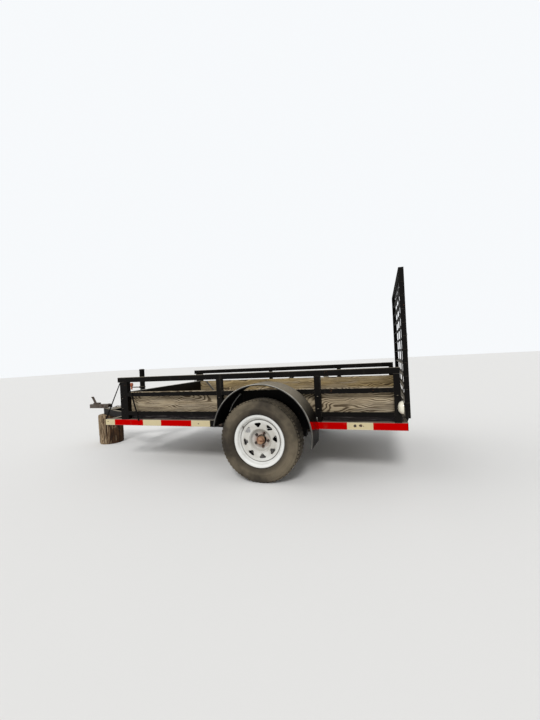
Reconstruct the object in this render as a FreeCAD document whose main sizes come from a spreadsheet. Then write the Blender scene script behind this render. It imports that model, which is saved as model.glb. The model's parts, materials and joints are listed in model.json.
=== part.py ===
"""A single-axle utility trailer with open sides, a plank deck and a ramp gate, in millimetres.

Frame: +X to the rear gate, -X to the coupler, -Y is the side called near, +Z up, z = 0 is the ground.
The origin is on the ground, midway between the coupler's tip and the hinge lugs, on the centre line.
"""

import FreeCAD, Part
import math
import os
import re

import Sketcher
from FreeCAD import Rotation, Vector

doc = FreeCAD.newDocument("UtilityTrailer")

# Driving sizes: name, value in millimetres or degrees, what it is
SIZES = (
    ("bed_width", 1524, "over the outer faces of the side rails"),
    ("frame_length", 2950, "side rail, end to end"),
    ("tongue_reach", 1030, "coupler tip ahead of the frame"),
    ("rail_under", 395, "ground to the frame's underside"),
    ("rail_height", 60, "side rail's height"),
    ("rail_flange", 50, "side rail's flanges"),
    ("rail_wall", 6, "side rail's thickness"),
    ("cross_wide", 50, "cross member's flat leg"),
    ("cross_wall", 5, "cross member's thickness"),
    ("cross_count", 8, "cross members, the end ones too"),
    ("deck_thick", 46, "plank thickness"),
    ("deck_setback", 30, "plank ends ahead of the frame's rear end"),
    ("plank_gap", 4, "gap between planks"),
    ("plank_count", 10, "planks across the deck"),
    ("post_depth", 50, "post's inward leg, and the top rail's width"),
    ("post_wide", 50, "post along the trailer"),
    ("front_post_wide", 90, "front post along the trailer"),
    ("post_wall", 5, "post's thickness"),
    ("rear_post_back", 43, "frame's rear end to the rear post"),
    ("arch_behind", 426, "axle to the post behind the wheel"),
    ("arch_ahead", 437, "axle to the post ahead of the wheel"),
    ("front_open", 212, "frame's front end to the front post"),
    ("top_rail_under", 835, "ground to the top rail"),
    ("top_rail_height", 50, "top rail's height"),
    ("top_rail_round", 5, "top rail's corner radius"),
    ("top_rail_over", 26, "top rail ahead of the front post"),
    ("bay_rail_tall", 38, "upright leg of the rails between the posts"),
    ("bay_rail_wall", 4, "their thickness"),
    ("bottom_rail_gap", 5, "deck to the bottom rail"),
    ("mid_rail_drop", 145, "top rail's underside to the mid rail's"),
    ("board_height", 235, "side board's height"),
    ("board_thick", 38, "side board's thickness"),
    ("wall_thick", 5, "front wall sheet and the posts' legs it meets"),
    ("wall_over_rail", 45, "mid rail's underside to the front wall's top"),
    ("wall_cap_leg", 38, "legs of the angle along the front wall's top"),
    ("wall_cap_thick", 4, "that angle's thickness"),
    ("corner_brace_behind", 84, "front wall to the corner brace's top"),
    ("corner_brace_run", 200, "corner brace's foot behind its top"),
    ("corner_brace_wide", 28, "corner brace's width"),
    ("corner_brace_thick", 8, "corner brace's thickness"),
    ("strap_behind", 44, "front post to the outer strap's top"),
    ("strap_run", 76, "outer strap's foot behind its top"),
    ("strap_wide", 17, "outer strap's width"),
    ("strap_thick", 5, "outer strap's thickness"),
    ("strap_foot", 12, "outer strap's foot down the side rail"),
    ("front_brace_wide", 15, "front brace's width"),
    ("front_brace_thick", 5, "front brace's thickness"),
    ("leg_height", 76, "tongue channel's height"),
    ("leg_wide", 42, "tongue channel's width across the trailer"),
    ("leg_wall", 6, "tongue channel's thickness"),
    ("leg_root_inset", 362, "frame's side to the legs' outer edge at the root"),
    ("leg_drop", 6, "tongue's top under the planks' underside"),
    ("coupler_ahead", 272, "coupler tip ahead of the tongue's nose"),
    ("nose_gap", 4, "gap between the legs at the nose"),
    ("nose_plate_long", 250, "plate on the tongue's nose"),
    ("nose_plate_thick", 5, "its thickness"),
    ("coupler_long", 340, "coupler body's length"),
    ("coupler_half", 36, "half the coupler's width, and its nose radius"),
    ("coupler_tall", 50, "coupler body's height"),
    ("coupler_wall", 6, "coupler's wall over its channel"),
    ("ball_radius", 26, "socket for a 2 inch ball"),
    ("ball_depth", 20, "straight part of the socket"),
    ("dome_radius", 12, "socket's flat top"),
    ("dome_tall", 20, "socket's tapered part"),
    ("latch_rise", 101, "raised latch lever above the coupler"),
    ("latch_thick", 20, "latch lever across the trailer"),
    ("latch_wide", 24, "latch lever's width"),
    ("latch_back", 42, "coupler tip to the latch lever's top"),
    ("latch_lean", 44, "latch lever's lean"),
    ("stump_radius", 152, "log stump"),
    ("stump_dip", 4, "steps in the log's uneven outline"),
    ("spare", 1, "cutting shapes beyond the faces they cut"),
    ("stump_behind_nose", 70, "tongue nose to the stump's centre"),
    ("jack_radius", 31, "jack's outer tube"),
    ("jack_wall", 4, "its wall"),
    ("jack_gap", 0.5, "inner leg's clearance in the tube"),
    ("jack_top", 950, "ground to the jack's top"),
    ("jack_bottom", 300, "ground to the outer tube's lower end"),
    ("jack_ahead", 145, "jack's axis ahead of the frame"),
    ("jack_foot_radius", 60, "jack's foot plate"),
    ("jack_foot_thick", 8, "its thickness"),
    ("jack_foot_under", 255, "ground to the foot, with the leg drawn up"),
    ("jack_leg_top", 900, "ground to the inner leg's top"),
    ("jack_bracket_tall", 50, "bracket that holds the tube"),
    ("jack_cross_gap", 12, "tube to the tongue's cross member"),
    ("jack_cross_wide", 40, "cross member that carries the jack"),
    ("crank_height", 722, "ground to the crank arm"),
    ("crank_reach", 175, "jack axis to the grip's axis"),
    ("crank_radius", 7, "crank arm"),
    ("grip_radius", 11, "crank's grip"),
    ("grip_tall", 86, "crank's grip and its knob"),
    ("knob_radius", 21, "knob on the grip's top"),
    ("knob_tall", 44, "knob on the grip's top"),
    ("grip_below", 29, "crank's grip below its arm"),
    ("axle_from_rear", 1140, "frame's rear end to the axle"),
    ("tyre_radius", 338, "27 inch class tyre, a little flattened"),
    ("tyre_wide", 205, "tyre's section"),
    ("tyre_out", 260, "tyre's outer face beyond the side rail"),
    ("tread_half", 71, "half the tread's width"),
    ("shoulder_drop", 33, "tread to the shoulder's start on the side wall"),
    ("bulge_radius", 240, "where the tyre's side stands out fully"),
    ("bead_radius", 191, "15 inch rim's bead seat"),
    ("bead_half", 76, "half the rim's width between its lips"),
    ("lip_radius", 214, "rim's lip"),
    ("rim_wall", 4, "rim's thickness"),
    ("disc_wall", 5, "wheel disc's thickness"),
    ("disc_bore", 42, "wheel disc's centre bore radius"),
    ("disc_flat", 86, "wheel disc's flat centre, radius"),
    ("disc_crest", 44, "wheel disc's crest outboard of its flat"),
    ("window_in", 106, "rim window's inner edge, radius"),
    ("window_out", 149, "rim window's outer edge, radius"),
    ("window_half", 27, "half the window's width near its outer edge"),
    ("window_foot", 11, "half the window's width near its inner edge"),
    ("window_cut", 8, "window's bevelled corners"),
    ("window_count", 8, "rim windows"),
    ("window_phase", 6.5, "first window past the wheel's top, degrees"),
    ("lug_circle", 114.3, "lug circle's diameter"),
    ("lug_count", 5, "lugs"),
    ("lug_phase", 65, "first lug above the wheel's middle, degrees"),
    ("lug_radius", 12, "lug nut, across corners / 2"),
    ("lug_tall", 20, "lug nut's height"),
    ("hub_radius", 34, "hub barrel"),
    ("hub_flange", 74, "hub flange's radius"),
    ("hub_flange_thick", 12, "its thickness"),
    ("hub_in", 95, "hub barrel inboard of the wheel's middle"),
    ("hub_out", 22, "hub barrel outboard of it"),
    ("cap_radius", 33, "hub cap"),
    ("cap_deep", 40, "hub cap's depth"),
    ("spindle_radius", 19.5, "axle spindle"),
    ("spindle_gap", 0.1, "hub bore's clearance on the spindle"),
    ("spindle_out", 18, "spindle's end outboard of the wheel's middle"),
    ("axle_radius", 30, "axle tube"),
    ("hub_clear", 8, "hub's inner end to the axle tube's end"),
    ("spring_wide", 45, "leaf spring's width"),
    ("spring_inset", 2, "spring inboard of the side rail's outer face"),
    ("spring_half", 320, "spring's middle to its eye, along the trailer"),
    ("spring_sag", 50, "leaf spring's arch"),
    ("leaf_thick", 7, "one leaf"),
    ("leaf_flat", 45, "half the leaves' flat middle"),
    ("spring_top", 300, "ground to the top leaf at the axle"),
    ("second_leaf_half", 240, "second leaf's half length"),
    ("third_leaf_half", 150, "third leaf's half length"),
    ("eye_radius", 18, "spring eye"),
    ("eye_bore", 8, "spring eye's pin, radius"),
    ("hanger_thick", 5, "hanger plate"),
    ("hanger_wide", 44, "hanger plate's width"),
    ("seat_long", 76, "spring seat along the trailer"),
    ("tie_thick", 8, "tie plate under the spring"),
    ("tie_long", 110, "tie plate along the trailer"),
    ("tie_wide", 75, "tie plate across the trailer"),
    ("bolt_wide", 11, "U-bolt's thickness"),
    ("bolt_gap", 0.5, "U-bolt's clearance round the axle"),
    ("fender_radius", 430, "fender's outer radius"),
    ("fender_thick", 4, "fender's sheet"),
    ("fender_behind", 20, "fender's centre behind the axle"),
    ("fender_centre_up", 376, "ground to the fender's centre"),
    ("fender_start", 10, "fender's front end above its centre, degrees"),
    ("fender_end", 10, "fender's rear end below its centre, degrees"),
    ("fender_out", 262, "fender's outer edge beyond the side rail"),
    ("gate_setback", 18.5, "gate's front face ahead of the frame's rear end"),
    ("gate_depth", 39, "gate along the trailer"),
    ("gate_inset", 2, "gate inboard of the side rails' outer faces"),
    ("gate_under", 491, "ground to the gate's underside"),
    ("gate_tall", 1159, "gate's height"),
    ("gate_leg", 38, "gate angle's second leg"),
    ("gate_wall", 5, "gate angle's thickness"),
    ("gate_bar", 25, "cross bar's height"),
    ("gate_bar_wall", 4, "cross bar's thickness"),
    ("gate_bar_count", 10, "cross bars"),
    ("upright_wide", 30, "lengthwise members' width"),
    ("upright_thick", 5, "their thickness"),
    ("outer_share", 0.521, "far outer member's place as a share of the gate's half width"),
    ("inner_share", 0.1, "far inner member's place, the same way"),
    ("near_share", 0.441, "near member's place, the same way"),
    ("plate_wide", 230, "blank plate's width"),
    ("plate_tall", 150, "blank plate's height"),
    ("plate_thick", 3, "blank plate's thickness"),
    ("plate_under", 1000, "ground to the blank plate"),
    ("plate_inset", 17, "plate inboard of the gate's edge"),
    ("hinge_out", 22, "hinge axis behind the frame"),
    ("hinge_up", 470, "ground to the hinge axis"),
    ("hinge_pin", 6, "hinge pin's radius"),
    ("hinge_gap", 0.1, "barrel's clearance on the pin"),
    ("barrel_radius", 13, "hinge barrel"),
    ("barrel_long", 60, "hinge barrel's length"),
    ("lug_end", 15, "hinge lug's round end"),
    ("lug_thick", 8, "hinge lug"),
    ("lug_gap", 1, "lug to barrel"),
    ("hinge_inset", 260, "gate's side face to each hinge's middle"),
    ("leaf_plate_tall", 55, "hinge leaf on the gate"),
    ("leaf_plate_thick", 5, "its thickness"),
    ("link_bar", 7, "chain link's bar"),
    ("link_hole_long", 24, "chain link's opening along the chain"),
    ("link_hole_wide", 10, "chain link's opening across the chain"),
    ("link_count", 6, "links in each safety chain"),
    ("chain_behind", 90, "tongue's nose to the safety chains' first links"),
    ("lamp_radius", 51, "rear lamp"),
    ("lamp_behind", 17, "rear post to the rear lamp's face"),
    ("lamp_deep", 43, "rear lamp's bowl, its face to its round back"),
    ("lamp_up", 575, "ground to the lamp's axis"),
)

# Places that follow from the sizes: name, formula, what it is
PLACES = (
    ("overall", "tongue_reach + frame_length + hinge_out + lug_end", "coupler tip to hinge lugs"),
    ("rear_x", "overall / 2 - hinge_out - lug_end", "frame's rear end"),
    ("front_x", "rear_x - frame_length", "frame's front end"),
    ("side_y", "bed_width / 2", "side rail's outer face"),
    ("inner_y", "side_y - post_depth", "posts' inner face"),
    ("bed_under", "rail_under + rail_height", "side rails' top"),
    ("cross_under", "rail_under + rail_wall", "cross members on the rails' lower flanges"),
    ("cross_top", "bed_under - rail_wall", "cross members under the rails' upper flanges"),
    ("bed_top", "cross_top + deck_thick", "deck planks' top"),
    ("cross_length", "bed_width - 2 * rail_wall", "cross members between the rails"),
    ("plank_wide", "(2 * inner_y - (plank_count - 1) * plank_gap) / plank_count", "one plank"),
    ("axle_x", "rear_x - axle_from_rear", "axle"),
    ("deck_front", "front_x + front_open", "front post's front face"),
    ("board_x", "deck_front + front_post_wide", "front end of the planks and side boards"),
    ("wall_x", "board_x - wall_thick", "front wall's front face"),
    ("second_post_x", "axle_x - arch_ahead", "second post's rear face"),
    ("third_post_x", "axle_x + arch_behind + post_wide", "third post's rear face"),
    ("rear_post_x", "rear_x - rear_post_back", "rear post's rear face"),
    ("bottom_rail_under", "bed_top + bottom_rail_gap", "bottom rail"),
    ("mid_rail_under", "top_rail_under - mid_rail_drop", "mid rail"),
    ("wall_top", "mid_rail_under + wall_over_rail", "front wall's top"),
    ("leg_top", "bed_under - leg_drop", "tongue's top"),
    ("leg_under", "leg_top - leg_height", "tongue's underside"),
    ("leg_root_x", "front_x", "tongue legs' roots"),
    ("leg_root_half", "side_y - leg_root_inset", "legs' outer edge at the roots"),
    ("coupler_x", "front_x - tongue_reach", "coupler's tip"),
    ("nose_x", "coupler_x + coupler_ahead", "tongue's nose"),
    ("nose_half", "nose_gap / 2 + leg_wide", "legs' outer edge at the nose"),
    ("leg_slope", "(leg_root_half - nose_half) / (leg_root_x - nose_x)", "legs' spread"),
    ("coupler_under", "leg_top + nose_plate_thick", "coupler's underside"),
    ("ball_x", "coupler_x + coupler_half + 2", "ball's centre"),
    ("jack_x", "front_x - jack_ahead", "jack's axis"),
    ("jack_cross_x", "jack_x + jack_radius + jack_cross_gap", "jack cross member's front"),
    ("wheel_y", "side_y + tyre_out - tyre_wide / 2", "wheel's middle"),
    ("axle_end_y", "wheel_y - hub_in - hub_clear", "axle tube's end"),
    ("spring_y", "side_y - spring_inset - spring_wide / 2", "leaf spring's middle"),
    ("seat_tall", "tyre_radius - spring_top", "spring seat up to the axle's centre"),
    ("fender_x", "axle_x + fender_behind", "fender's centre"),
    ("gate_x", "rear_x - gate_setback", "gate's front face"),
    ("gate_rear", "gate_x + gate_depth", "gate's rear face"),
    ("gate_half", "side_y - gate_inset", "gate's side face"),
    ("hinge_half", "gate_half - hinge_inset", "centre line to each hinge"),
    ("hinge_x", "rear_x + hinge_out", "hinge axis"),
)


def make_sheet(name, rows):
    """A spreadsheet with one named cell for each row."""
    sheet = doc.addObject("Spreadsheet::Sheet", name)
    for line, (alias, content, note) in enumerate(rows, start=1):
        sheet.set(f"A{line}", alias)
        sheet.set(f"B{line}", str(content))
        sheet.set(f"C{line}", note)
        sheet.setAlias(f"B{line}", alias)
    doc.recompute()
    return sheet


SHEET_OF = {row[0]: "Sizes" for row in SIZES}
SHEET_OF.update({row[0]: "Places" for row in PLACES})


def formula(text):
    """Puts the sheet's name before each named size of a formula."""
    def with_sheet(match):
        word = match.group(0)
        return f"{SHEET_OF[word]}.{word}" if word in SHEET_OF else word

    return re.sub(r"[a-z][a-z_]*", with_sheet, str(text))


sizes = make_sheet("Sizes", SIZES)
places = make_sheet("Places", [(name, "=" + formula(text), note) for name, text, note in PLACES])


probe = doc.addObject("App::FeaturePython", "Probe")
probe.addProperty("App::PropertyFloat", "Reading")


def value(text):
    """The number that a formula has now."""
    probe.setExpression("Reading", formula(text))
    probe.recompute()
    return float(probe.Reading)


def bind(item, **settings):
    """Binds properties of an object to formulas."""
    for name, text in settings.items():
        item.setExpression(name.replace("__", "."), formula(text))
    return item


def place(item, x=0, y=0, z=0):
    """Binds an object's position to formulas."""
    for axis, text in (("x", x), ("y", y), ("z", z)):
        item.setExpression(f"Placement.Base.{axis}", formula(text))
    return item


def turn(item, axis, degrees):
    """Turns an object about a direction through its own base point."""
    item.Placement.Rotation = Rotation(Vector(*axis), degrees)
    return item


def box(name, x, y, z, long, wide, tall):
    """A box by its low corner and its sizes."""
    item = bind(doc.addObject("Part::Box", name), Length=long, Width=wide, Height=tall)
    return place(item, x, y, z)


def round_bar(name, x, y, z, radius, length, along="z"):
    """A cylinder from its low end along an axis."""
    item = bind(doc.addObject("Part::Cylinder", name), Radius=radius, Height=length)
    if along == "x":
        turn(item, (0, 1, 0), 90)
    if along == "y":
        turn(item, (1, 0, 0), -90)
    return place(item, x, y, z)


def cut(name, base, tool):
    """The base without the tool."""
    item = doc.addObject("Part::Cut", name)
    item.Base = base
    item.Tool = tool
    return item


def joined(name, items):
    """One solid from several that meet."""
    item = doc.addObject("Part::MultiFuse", name)
    item.Shapes = items
    item.Refine = True
    return item


def group(name, items):
    """Several solids that stay apart in one sub-part."""
    item = doc.addObject("Part::Compound", name)
    item.Links = items
    return item


def mirrored(name, source):
    """The far side's twin of a near piece."""
    item = doc.addObject("Part::Mirroring", name)
    item.Source = source
    item.Normal = Vector(0, 1, 0)
    return item


def pair(name, source):
    """A near piece and its far twin, as solids of one sub-part."""
    return group(name, [source, mirrored(name + "_twin", source)])


def outline(sketch, corners):
    """Draws a closed outline. A corner is (u, v), or (u, v, radius) where an arc arrives at it.

    A positive radius turns left on the way to the corner, and a negative one turns right.
    """
    points = [Vector(value(c[0]), value(c[1]), 0) for c in corners]
    first = sketch.GeometryCount
    ends = []
    for k, corner in enumerate(corners):
        start, end = points[k - 1], points[k]
        if len(corner) == 2:
            sketch.addGeometry(Part.LineSegment(start, end))
            ends.append((1, 2))
            continue
        radius = value(corner[2])
        chord = end - start
        left = Vector(-chord.y, chord.x, 0).normalize() * (1 if radius > 0 else -1)
        depth = (radius**2 - (chord.Length / 2) ** 2) ** 0.5
        centre = (start + end) / 2 + left * depth
        middle = centre - left * abs(radius)
        line = sketch.addGeometry(Part.Arc(start, middle, end))
        ends.append((1, 2) if (sketch.getPoint(line, 1) - start).Length < 1e-6 else (2, 1))
        label = f"radius_{line}"
        rule = sketch.addConstraint(Sketcher.Constraint("Radius", line, abs(radius)))
        sketch.renameConstraint(rule, label)
        sketch.setExpression(f"Constraints.{label}", formula(f"abs({corner[2]})"))
    for k, corner in enumerate(corners):
        after = (k + 1) % len(corners)
        sketch.addConstraint(
            Sketcher.Constraint("Coincident", first + k, ends[k][1], first + after, ends[after][0])
        )
        for kind, text, at in (("DistanceX", corner[0], points[k].x), ("DistanceY", corner[1], points[k].y)):
            label = f"{kind[-1].lower()}_{first + k}"
            rule = sketch.addConstraint(Sketcher.Constraint(kind, -1, 1, first + k, ends[k][1], at))
            sketch.renameConstraint(rule, label)
            sketch.setExpression(f"Constraints.{label}", formula(text))


def new_body(name):
    """An empty body."""
    return doc.addObject("PartDesign::Body", name)


def draw(body, plane, corners, offset="0"):
    """A sketch on one of the body's own planes, moved along the plane's normal."""
    sketch = body.newObject("Sketcher::SketchObject", body.Name + "_sketch")
    support = [f for f in body.Origin.OriginFeatures if f.Role == plane + "_Plane"][0]
    sketch.AttachmentSupport = [(support, "")]
    sketch.MapMode = "FlatFace"
    sketch.setExpression("AttachmentOffset.Base.z", formula(offset))
    outline(sketch, corners)
    return sketch


def profile(name, plane, corners, start, length):
    """An outline drawn across one axis and made long along it, from its low end."""
    body = new_body(name)
    offset = f"-({start}) - ({length})" if plane == "XZ" else start
    pad = body.newObject("PartDesign::Pad", name + "_pad")
    pad.Profile = draw(body, plane, corners, offset)
    bind(pad, Length=length)
    return body


def revolved(name, corners):
    """An outline of (radius, y) turned about the body's own Y axis."""
    body = new_body(name)
    add_revolution(body, corners)
    return body


def add_revolution(body, corners):
    """Adds a turned outline to a body."""
    sketch = draw(body, "XY", corners)
    turned = body.newObject("PartDesign::Revolution", body.Name + "_turn")
    turned.Profile = sketch
    turned.ReferenceAxis = (sketch, ["V_Axis"])
    turned.Angle = 360
    return turned


nodes = {}


def keep(item):
    """Lists an object as a sub-part of the trailer, named by its label."""
    nodes[item.Label] = item
    return item


def keep_both(item, base):
    """Lists a near piece and its far twin."""
    item.Label = base + "_near"
    keep(item)
    keep(mirrored(base + "_far", item))


def make_frame():
    """Side rails, end members and inner cross members."""
    rail = profile(
        "side_rail", "YZ",
        (
            ("-side_y", "rail_under"),
            ("rail_flange - side_y", "rail_under"),
            ("rail_flange - side_y", "rail_under + rail_wall"),
            ("rail_wall - side_y", "rail_under + rail_wall"),
            ("rail_wall - side_y", "cross_top"),
            ("rail_flange - side_y", "cross_top"),
            ("rail_flange - side_y", "bed_under"),
            ("-side_y", "bed_under"),
        ),
        "front_x", "frame_length",
    )
    keep_both(rail, "side_rail")

    def cross(name, x):
        """An angle between the side rails: an upright leg at x, and a flat top leg behind it."""
        return profile(
            name, "XZ",
            (
                (x, "cross_under"),
                (f"{x} + cross_wall", "cross_under"),
                (f"{x} + cross_wall", "cross_top - cross_wall"),
                (f"{x} + cross_wide", "cross_top - cross_wall"),
                (f"{x} + cross_wide", "cross_top"),
                (x, "cross_top"),
            ),
            "rail_wall - side_y", "cross_length",
        )

    last = round(value("cross_count")) - 1
    spread = "(frame_length - cross_wide) / (cross_count - 1)"
    keep(group("cross_members", [cross(f"cross_{k}", f"front_x + {k} * {spread}") for k in range(last + 1)]))


def make_deck():
    """Lengthwise planks between the posts."""
    planks = [
        box(
            f"plank_{k}", "board_x", f"{k} * (plank_wide + plank_gap) - inner_y", "cross_top",
            "rear_x - deck_setback - board_x", "plank_wide", "deck_thick",
        )
        for k in range(round(value("plank_count")))
    ]
    keep(group("deck_planks", planks))


# Posts from the front: name, rear face, width
POSTS = (
    ("front_post", "board_x", "front_post_wide"),
    ("second_post", "second_post_x", "post_wide"),
    ("third_post", "third_post_x", "post_wide"),
    ("rear_post", "rear_post_x", "post_wide"),
)


def make_posts():
    """Angle posts on the side rails; the wide front post is a channel."""
    posts = []
    for name, rear, wide in POSTS:
        front = f"{rear} - {wide}"
        corners = [
            (front, "-side_y"),
            (rear, "-side_y"),
            (rear, "-inner_y"),
            (f"{rear} - post_wall", "-inner_y"),
            (f"{rear} - post_wall", "post_wall - side_y"),
            (front, "post_wall - side_y"),
        ]
        if name == "front_post":
            corners[5:] = [
                (f"{front} + post_wall", "post_wall - side_y"),
                (f"{front} + post_wall", "-inner_y"),
                (front, "-inner_y"),
            ]
        posts.append(profile(name, "XY", corners, "bed_under", "top_rail_under - bed_under"))
    keep(pair("posts", group("near_posts", posts)))


def make_rails():
    """Top rails, and the bottom and mid rails between the posts."""
    front = "deck_front - top_rail_over"
    top = new_body("top_rail")
    pad = top.newObject("PartDesign::Pad", "top_rail_pad")
    low, high = "top_rail_under", "top_rail_under + top_rail_height"
    corners = (("-side_y", low), ("-inner_y", low), ("-inner_y", high), ("-side_y", high))
    pad.Profile = draw(top, "YZ", corners, front)
    bind(pad, Length=f"rear_post_x - ({front})")
    doc.recompute()
    along = [f"Edge{k}" for k, e in enumerate(pad.Shape.Edges, start=1) if abs(e.tangentAt(0).x) > 0.9]
    rounding = top.newObject("PartDesign::Fillet", "top_rail_round_edges")
    rounding.Base = (pad, along)
    bind(rounding, Radius="top_rail_round")
    keep_both(top, "top_rail")
    for base, under in (("bottom_rails", "bottom_rail_under"), ("mid_rails", "mid_rail_under")):
        bays = []
        for ahead, behind in zip(POSTS, POSTS[1:]):
            start = ahead[1]
            length = f"{behind[1]} - {behind[2]} - {start}"
            corners = (
                ("-side_y", under),
                ("-inner_y", under),
                ("-inner_y", f"{under} + bay_rail_wall"),
                ("bay_rail_wall - side_y", f"{under} + bay_rail_wall"),
                ("bay_rail_wall - side_y", f"{under} + bay_rail_tall"),
                ("-side_y", f"{under} + bay_rail_tall"),
            )
            bays.append(profile(f"{base}_{ahead[0]}", "YZ", corners, start, length))
        keep(pair(base, group(f"near_{base}", bays)))


def make_walls():
    """Side boards, the low front wall with its top angle, and the braces at the front."""
    board = box(
        "side_board", "board_x", "-inner_y", "bed_top", "rear_post_x - board_x", "board_thick", "board_height"
    )
    keep_both(board, "side_board")
    keep(box("front_wall", "wall_x", "-inner_y", "bed_under", "wall_thick", "2 * inner_y",
             "wall_top - wall_cap_thick - bed_under"))
    ahead = "wall_x - wall_cap_thick"
    cap = profile(
        "front_wall_angle", "XZ",
        (
            (ahead, "wall_top - wall_cap_leg"),
            ("wall_x", "wall_top - wall_cap_leg"),
            ("wall_x", "wall_top - wall_cap_thick"),
            ("board_x", "wall_top - wall_cap_thick"),
            ("board_x", "wall_top"),
            ("board_x - wall_cap_leg", "wall_top"),
            ("board_x - wall_cap_leg", "wall_top - wall_cap_thick"),
            (ahead, "wall_top - wall_cap_thick"),
        ),
        "-inner_y", "2 * inner_y",
    )
    keep(cap)
    def leaning(name, top_x, top_z, run, foot_z, wide, y, thick):
        """A flat bar from its top down to a foot further back."""
        return profile(name, "XZ", (
            (top_x, top_z),
            (f"{top_x} + {run}", foot_z),
            (f"{top_x} + {run} + {wide}", foot_z),
            (f"{top_x} + {wide}", top_z),
        ), y, thick)

    keep(pair("corner_braces", leaning(
        "corner_brace", "board_x + corner_brace_behind", "bed_top + board_height", "corner_brace_run", "bed_top",
        "corner_brace_wide", "board_thick - inner_y", "corner_brace_thick",
    )))
    keep(pair("outer_straps", leaning(
        "outer_strap", "board_x + strap_behind", "mid_rail_under + bay_rail_tall", "strap_run",
        "bed_under - strap_foot", "strap_wide", "-side_y - strap_thick", "strap_thick",
    )))
    outer = profile(
        "front_brace", "XZ",
        (
            ("front_x", "bed_under"),
            ("front_x + front_brace_wide", "bed_under"),
            ("deck_front", "top_rail_under - front_brace_wide"),
            ("deck_front", "top_rail_under"),
        ),
        "-side_y", "front_brace_thick",
    )
    keep(pair("front_braces", outer))


def leg_edge(x, inset):
    """Half the tongue's width at x, measured to a line parallel to its outer edge."""
    return f"(nose_half + ({x} - nose_x) * leg_slope - ({inset}))"


def make_tongue():
    """Two channel legs in an A, the nose plate, and the cross member that carries the jack."""
    def strip(name, outer, inner, start, length):
        """A strip parallel to the leg, between two insets from its outer edge."""
        corners = (
            ("nose_x", "-" + leg_edge("nose_x", outer)),
            ("leg_root_x", "-" + leg_edge("leg_root_x", outer)),
            ("leg_root_x", "-" + leg_edge("leg_root_x", inner)),
            ("nose_x", "-" + leg_edge("nose_x", inner)),
        )
        return profile(name, "XY", corners, start, length)

    bar = strip("leg_bar", "0", "leg_wide", "leg_under", "leg_height")
    hollow = strip("leg_hollow", "leg_wall", "leg_wide + leg_wall", "leg_under + leg_wall",
                   "leg_height - 2 * leg_wall")
    keep_both(cut("tongue_leg", bar, hollow), "tongue_leg")
    plate_end = "nose_x + nose_plate_long"
    keep(profile(
        "nose_plate", "XY",
        (
            ("nose_x", "-nose_half"),
            (plate_end, "-" + leg_edge(plate_end, "0")),
            (plate_end, leg_edge(plate_end, "0")),
            ("nose_x", "nose_half"),
        ),
        "leg_top", "nose_plate_thick",
    ))
    back = "jack_cross_x + jack_cross_wide"
    keep(profile(
        "tongue_cross_member", "XY",
        (
            ("jack_cross_x", "-" + leg_edge("jack_cross_x", "leg_wide")),
            (back, "-" + leg_edge(back, "leg_wide")),
            (back, leg_edge(back, "leg_wide")),
            ("jack_cross_x", leg_edge("jack_cross_x", "leg_wide")),
        ),
        "leg_under", "leg_height",
    ))
    log = []
    for k in range(20):
        far = f"(stump_radius - {k * 7 % 3} * stump_dip)"
        log.append((f"nose_x + stump_behind_nose + {far} * cos({18 * k})", f"{far} * sin({18 * k})"))
    keep(profile("log_stump", "XY", log, "0", "leg_under"))


def make_coupler():
    """Hollow coupler with a round nose and a ball socket, and its raised latch lever."""
    body = new_body("coupler_shell")
    rear = "coupler_x + coupler_long"
    bend = "coupler_x + coupler_half"
    pad = body.newObject("PartDesign::Pad", "coupler_pad")
    pad.Profile = draw(body, "XY", (
        (bend, "-coupler_half"),
        (rear, "-coupler_half"),
        (rear, "coupler_half"),
        (bend, "coupler_half"),
        ("coupler_x", "0", "coupler_half"),
        (bend, "-coupler_half", "coupler_half"),
    )[1:], "coupler_under")
    bind(pad, Length="coupler_tall")
    channel_start = "ball_x + ball_radius + coupler_wall"
    channel = box(
        "coupler_channel", channel_start, "coupler_wall - coupler_half", "coupler_under",
        f"{rear} - ({channel_start}) + coupler_wall", "2 * (coupler_half - coupler_wall)",
        "coupler_tall - coupler_wall",
    )
    bore = round_bar("ball_bore", "ball_x", 0, "coupler_under", "ball_radius", "ball_depth")
    dome = bind(doc.addObject("Part::Cone", "ball_dome"), Radius1="ball_radius", Radius2="dome_radius",
                Height="dome_tall")
    place(dome, "ball_x", 0, "coupler_under + ball_depth")
    keep(cut("coupler_body", cut("coupler_open", body, channel), joined("ball_socket", [bore, dome])))
    top = "coupler_under + coupler_tall"
    foot = "coupler_x + latch_back + latch_lean"
    keep(profile(
        "coupler_latch", "XZ",
        (
            (foot, top),
            (f"{foot} + latch_wide", top),
            ("coupler_x + latch_back + latch_wide / 2", f"{top} + latch_rise"),
            ("coupler_x + latch_back - latch_wide / 2", f"{top} + latch_rise"),
        ),
        "-latch_thick / 2", "latch_thick",
    ))


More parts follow.
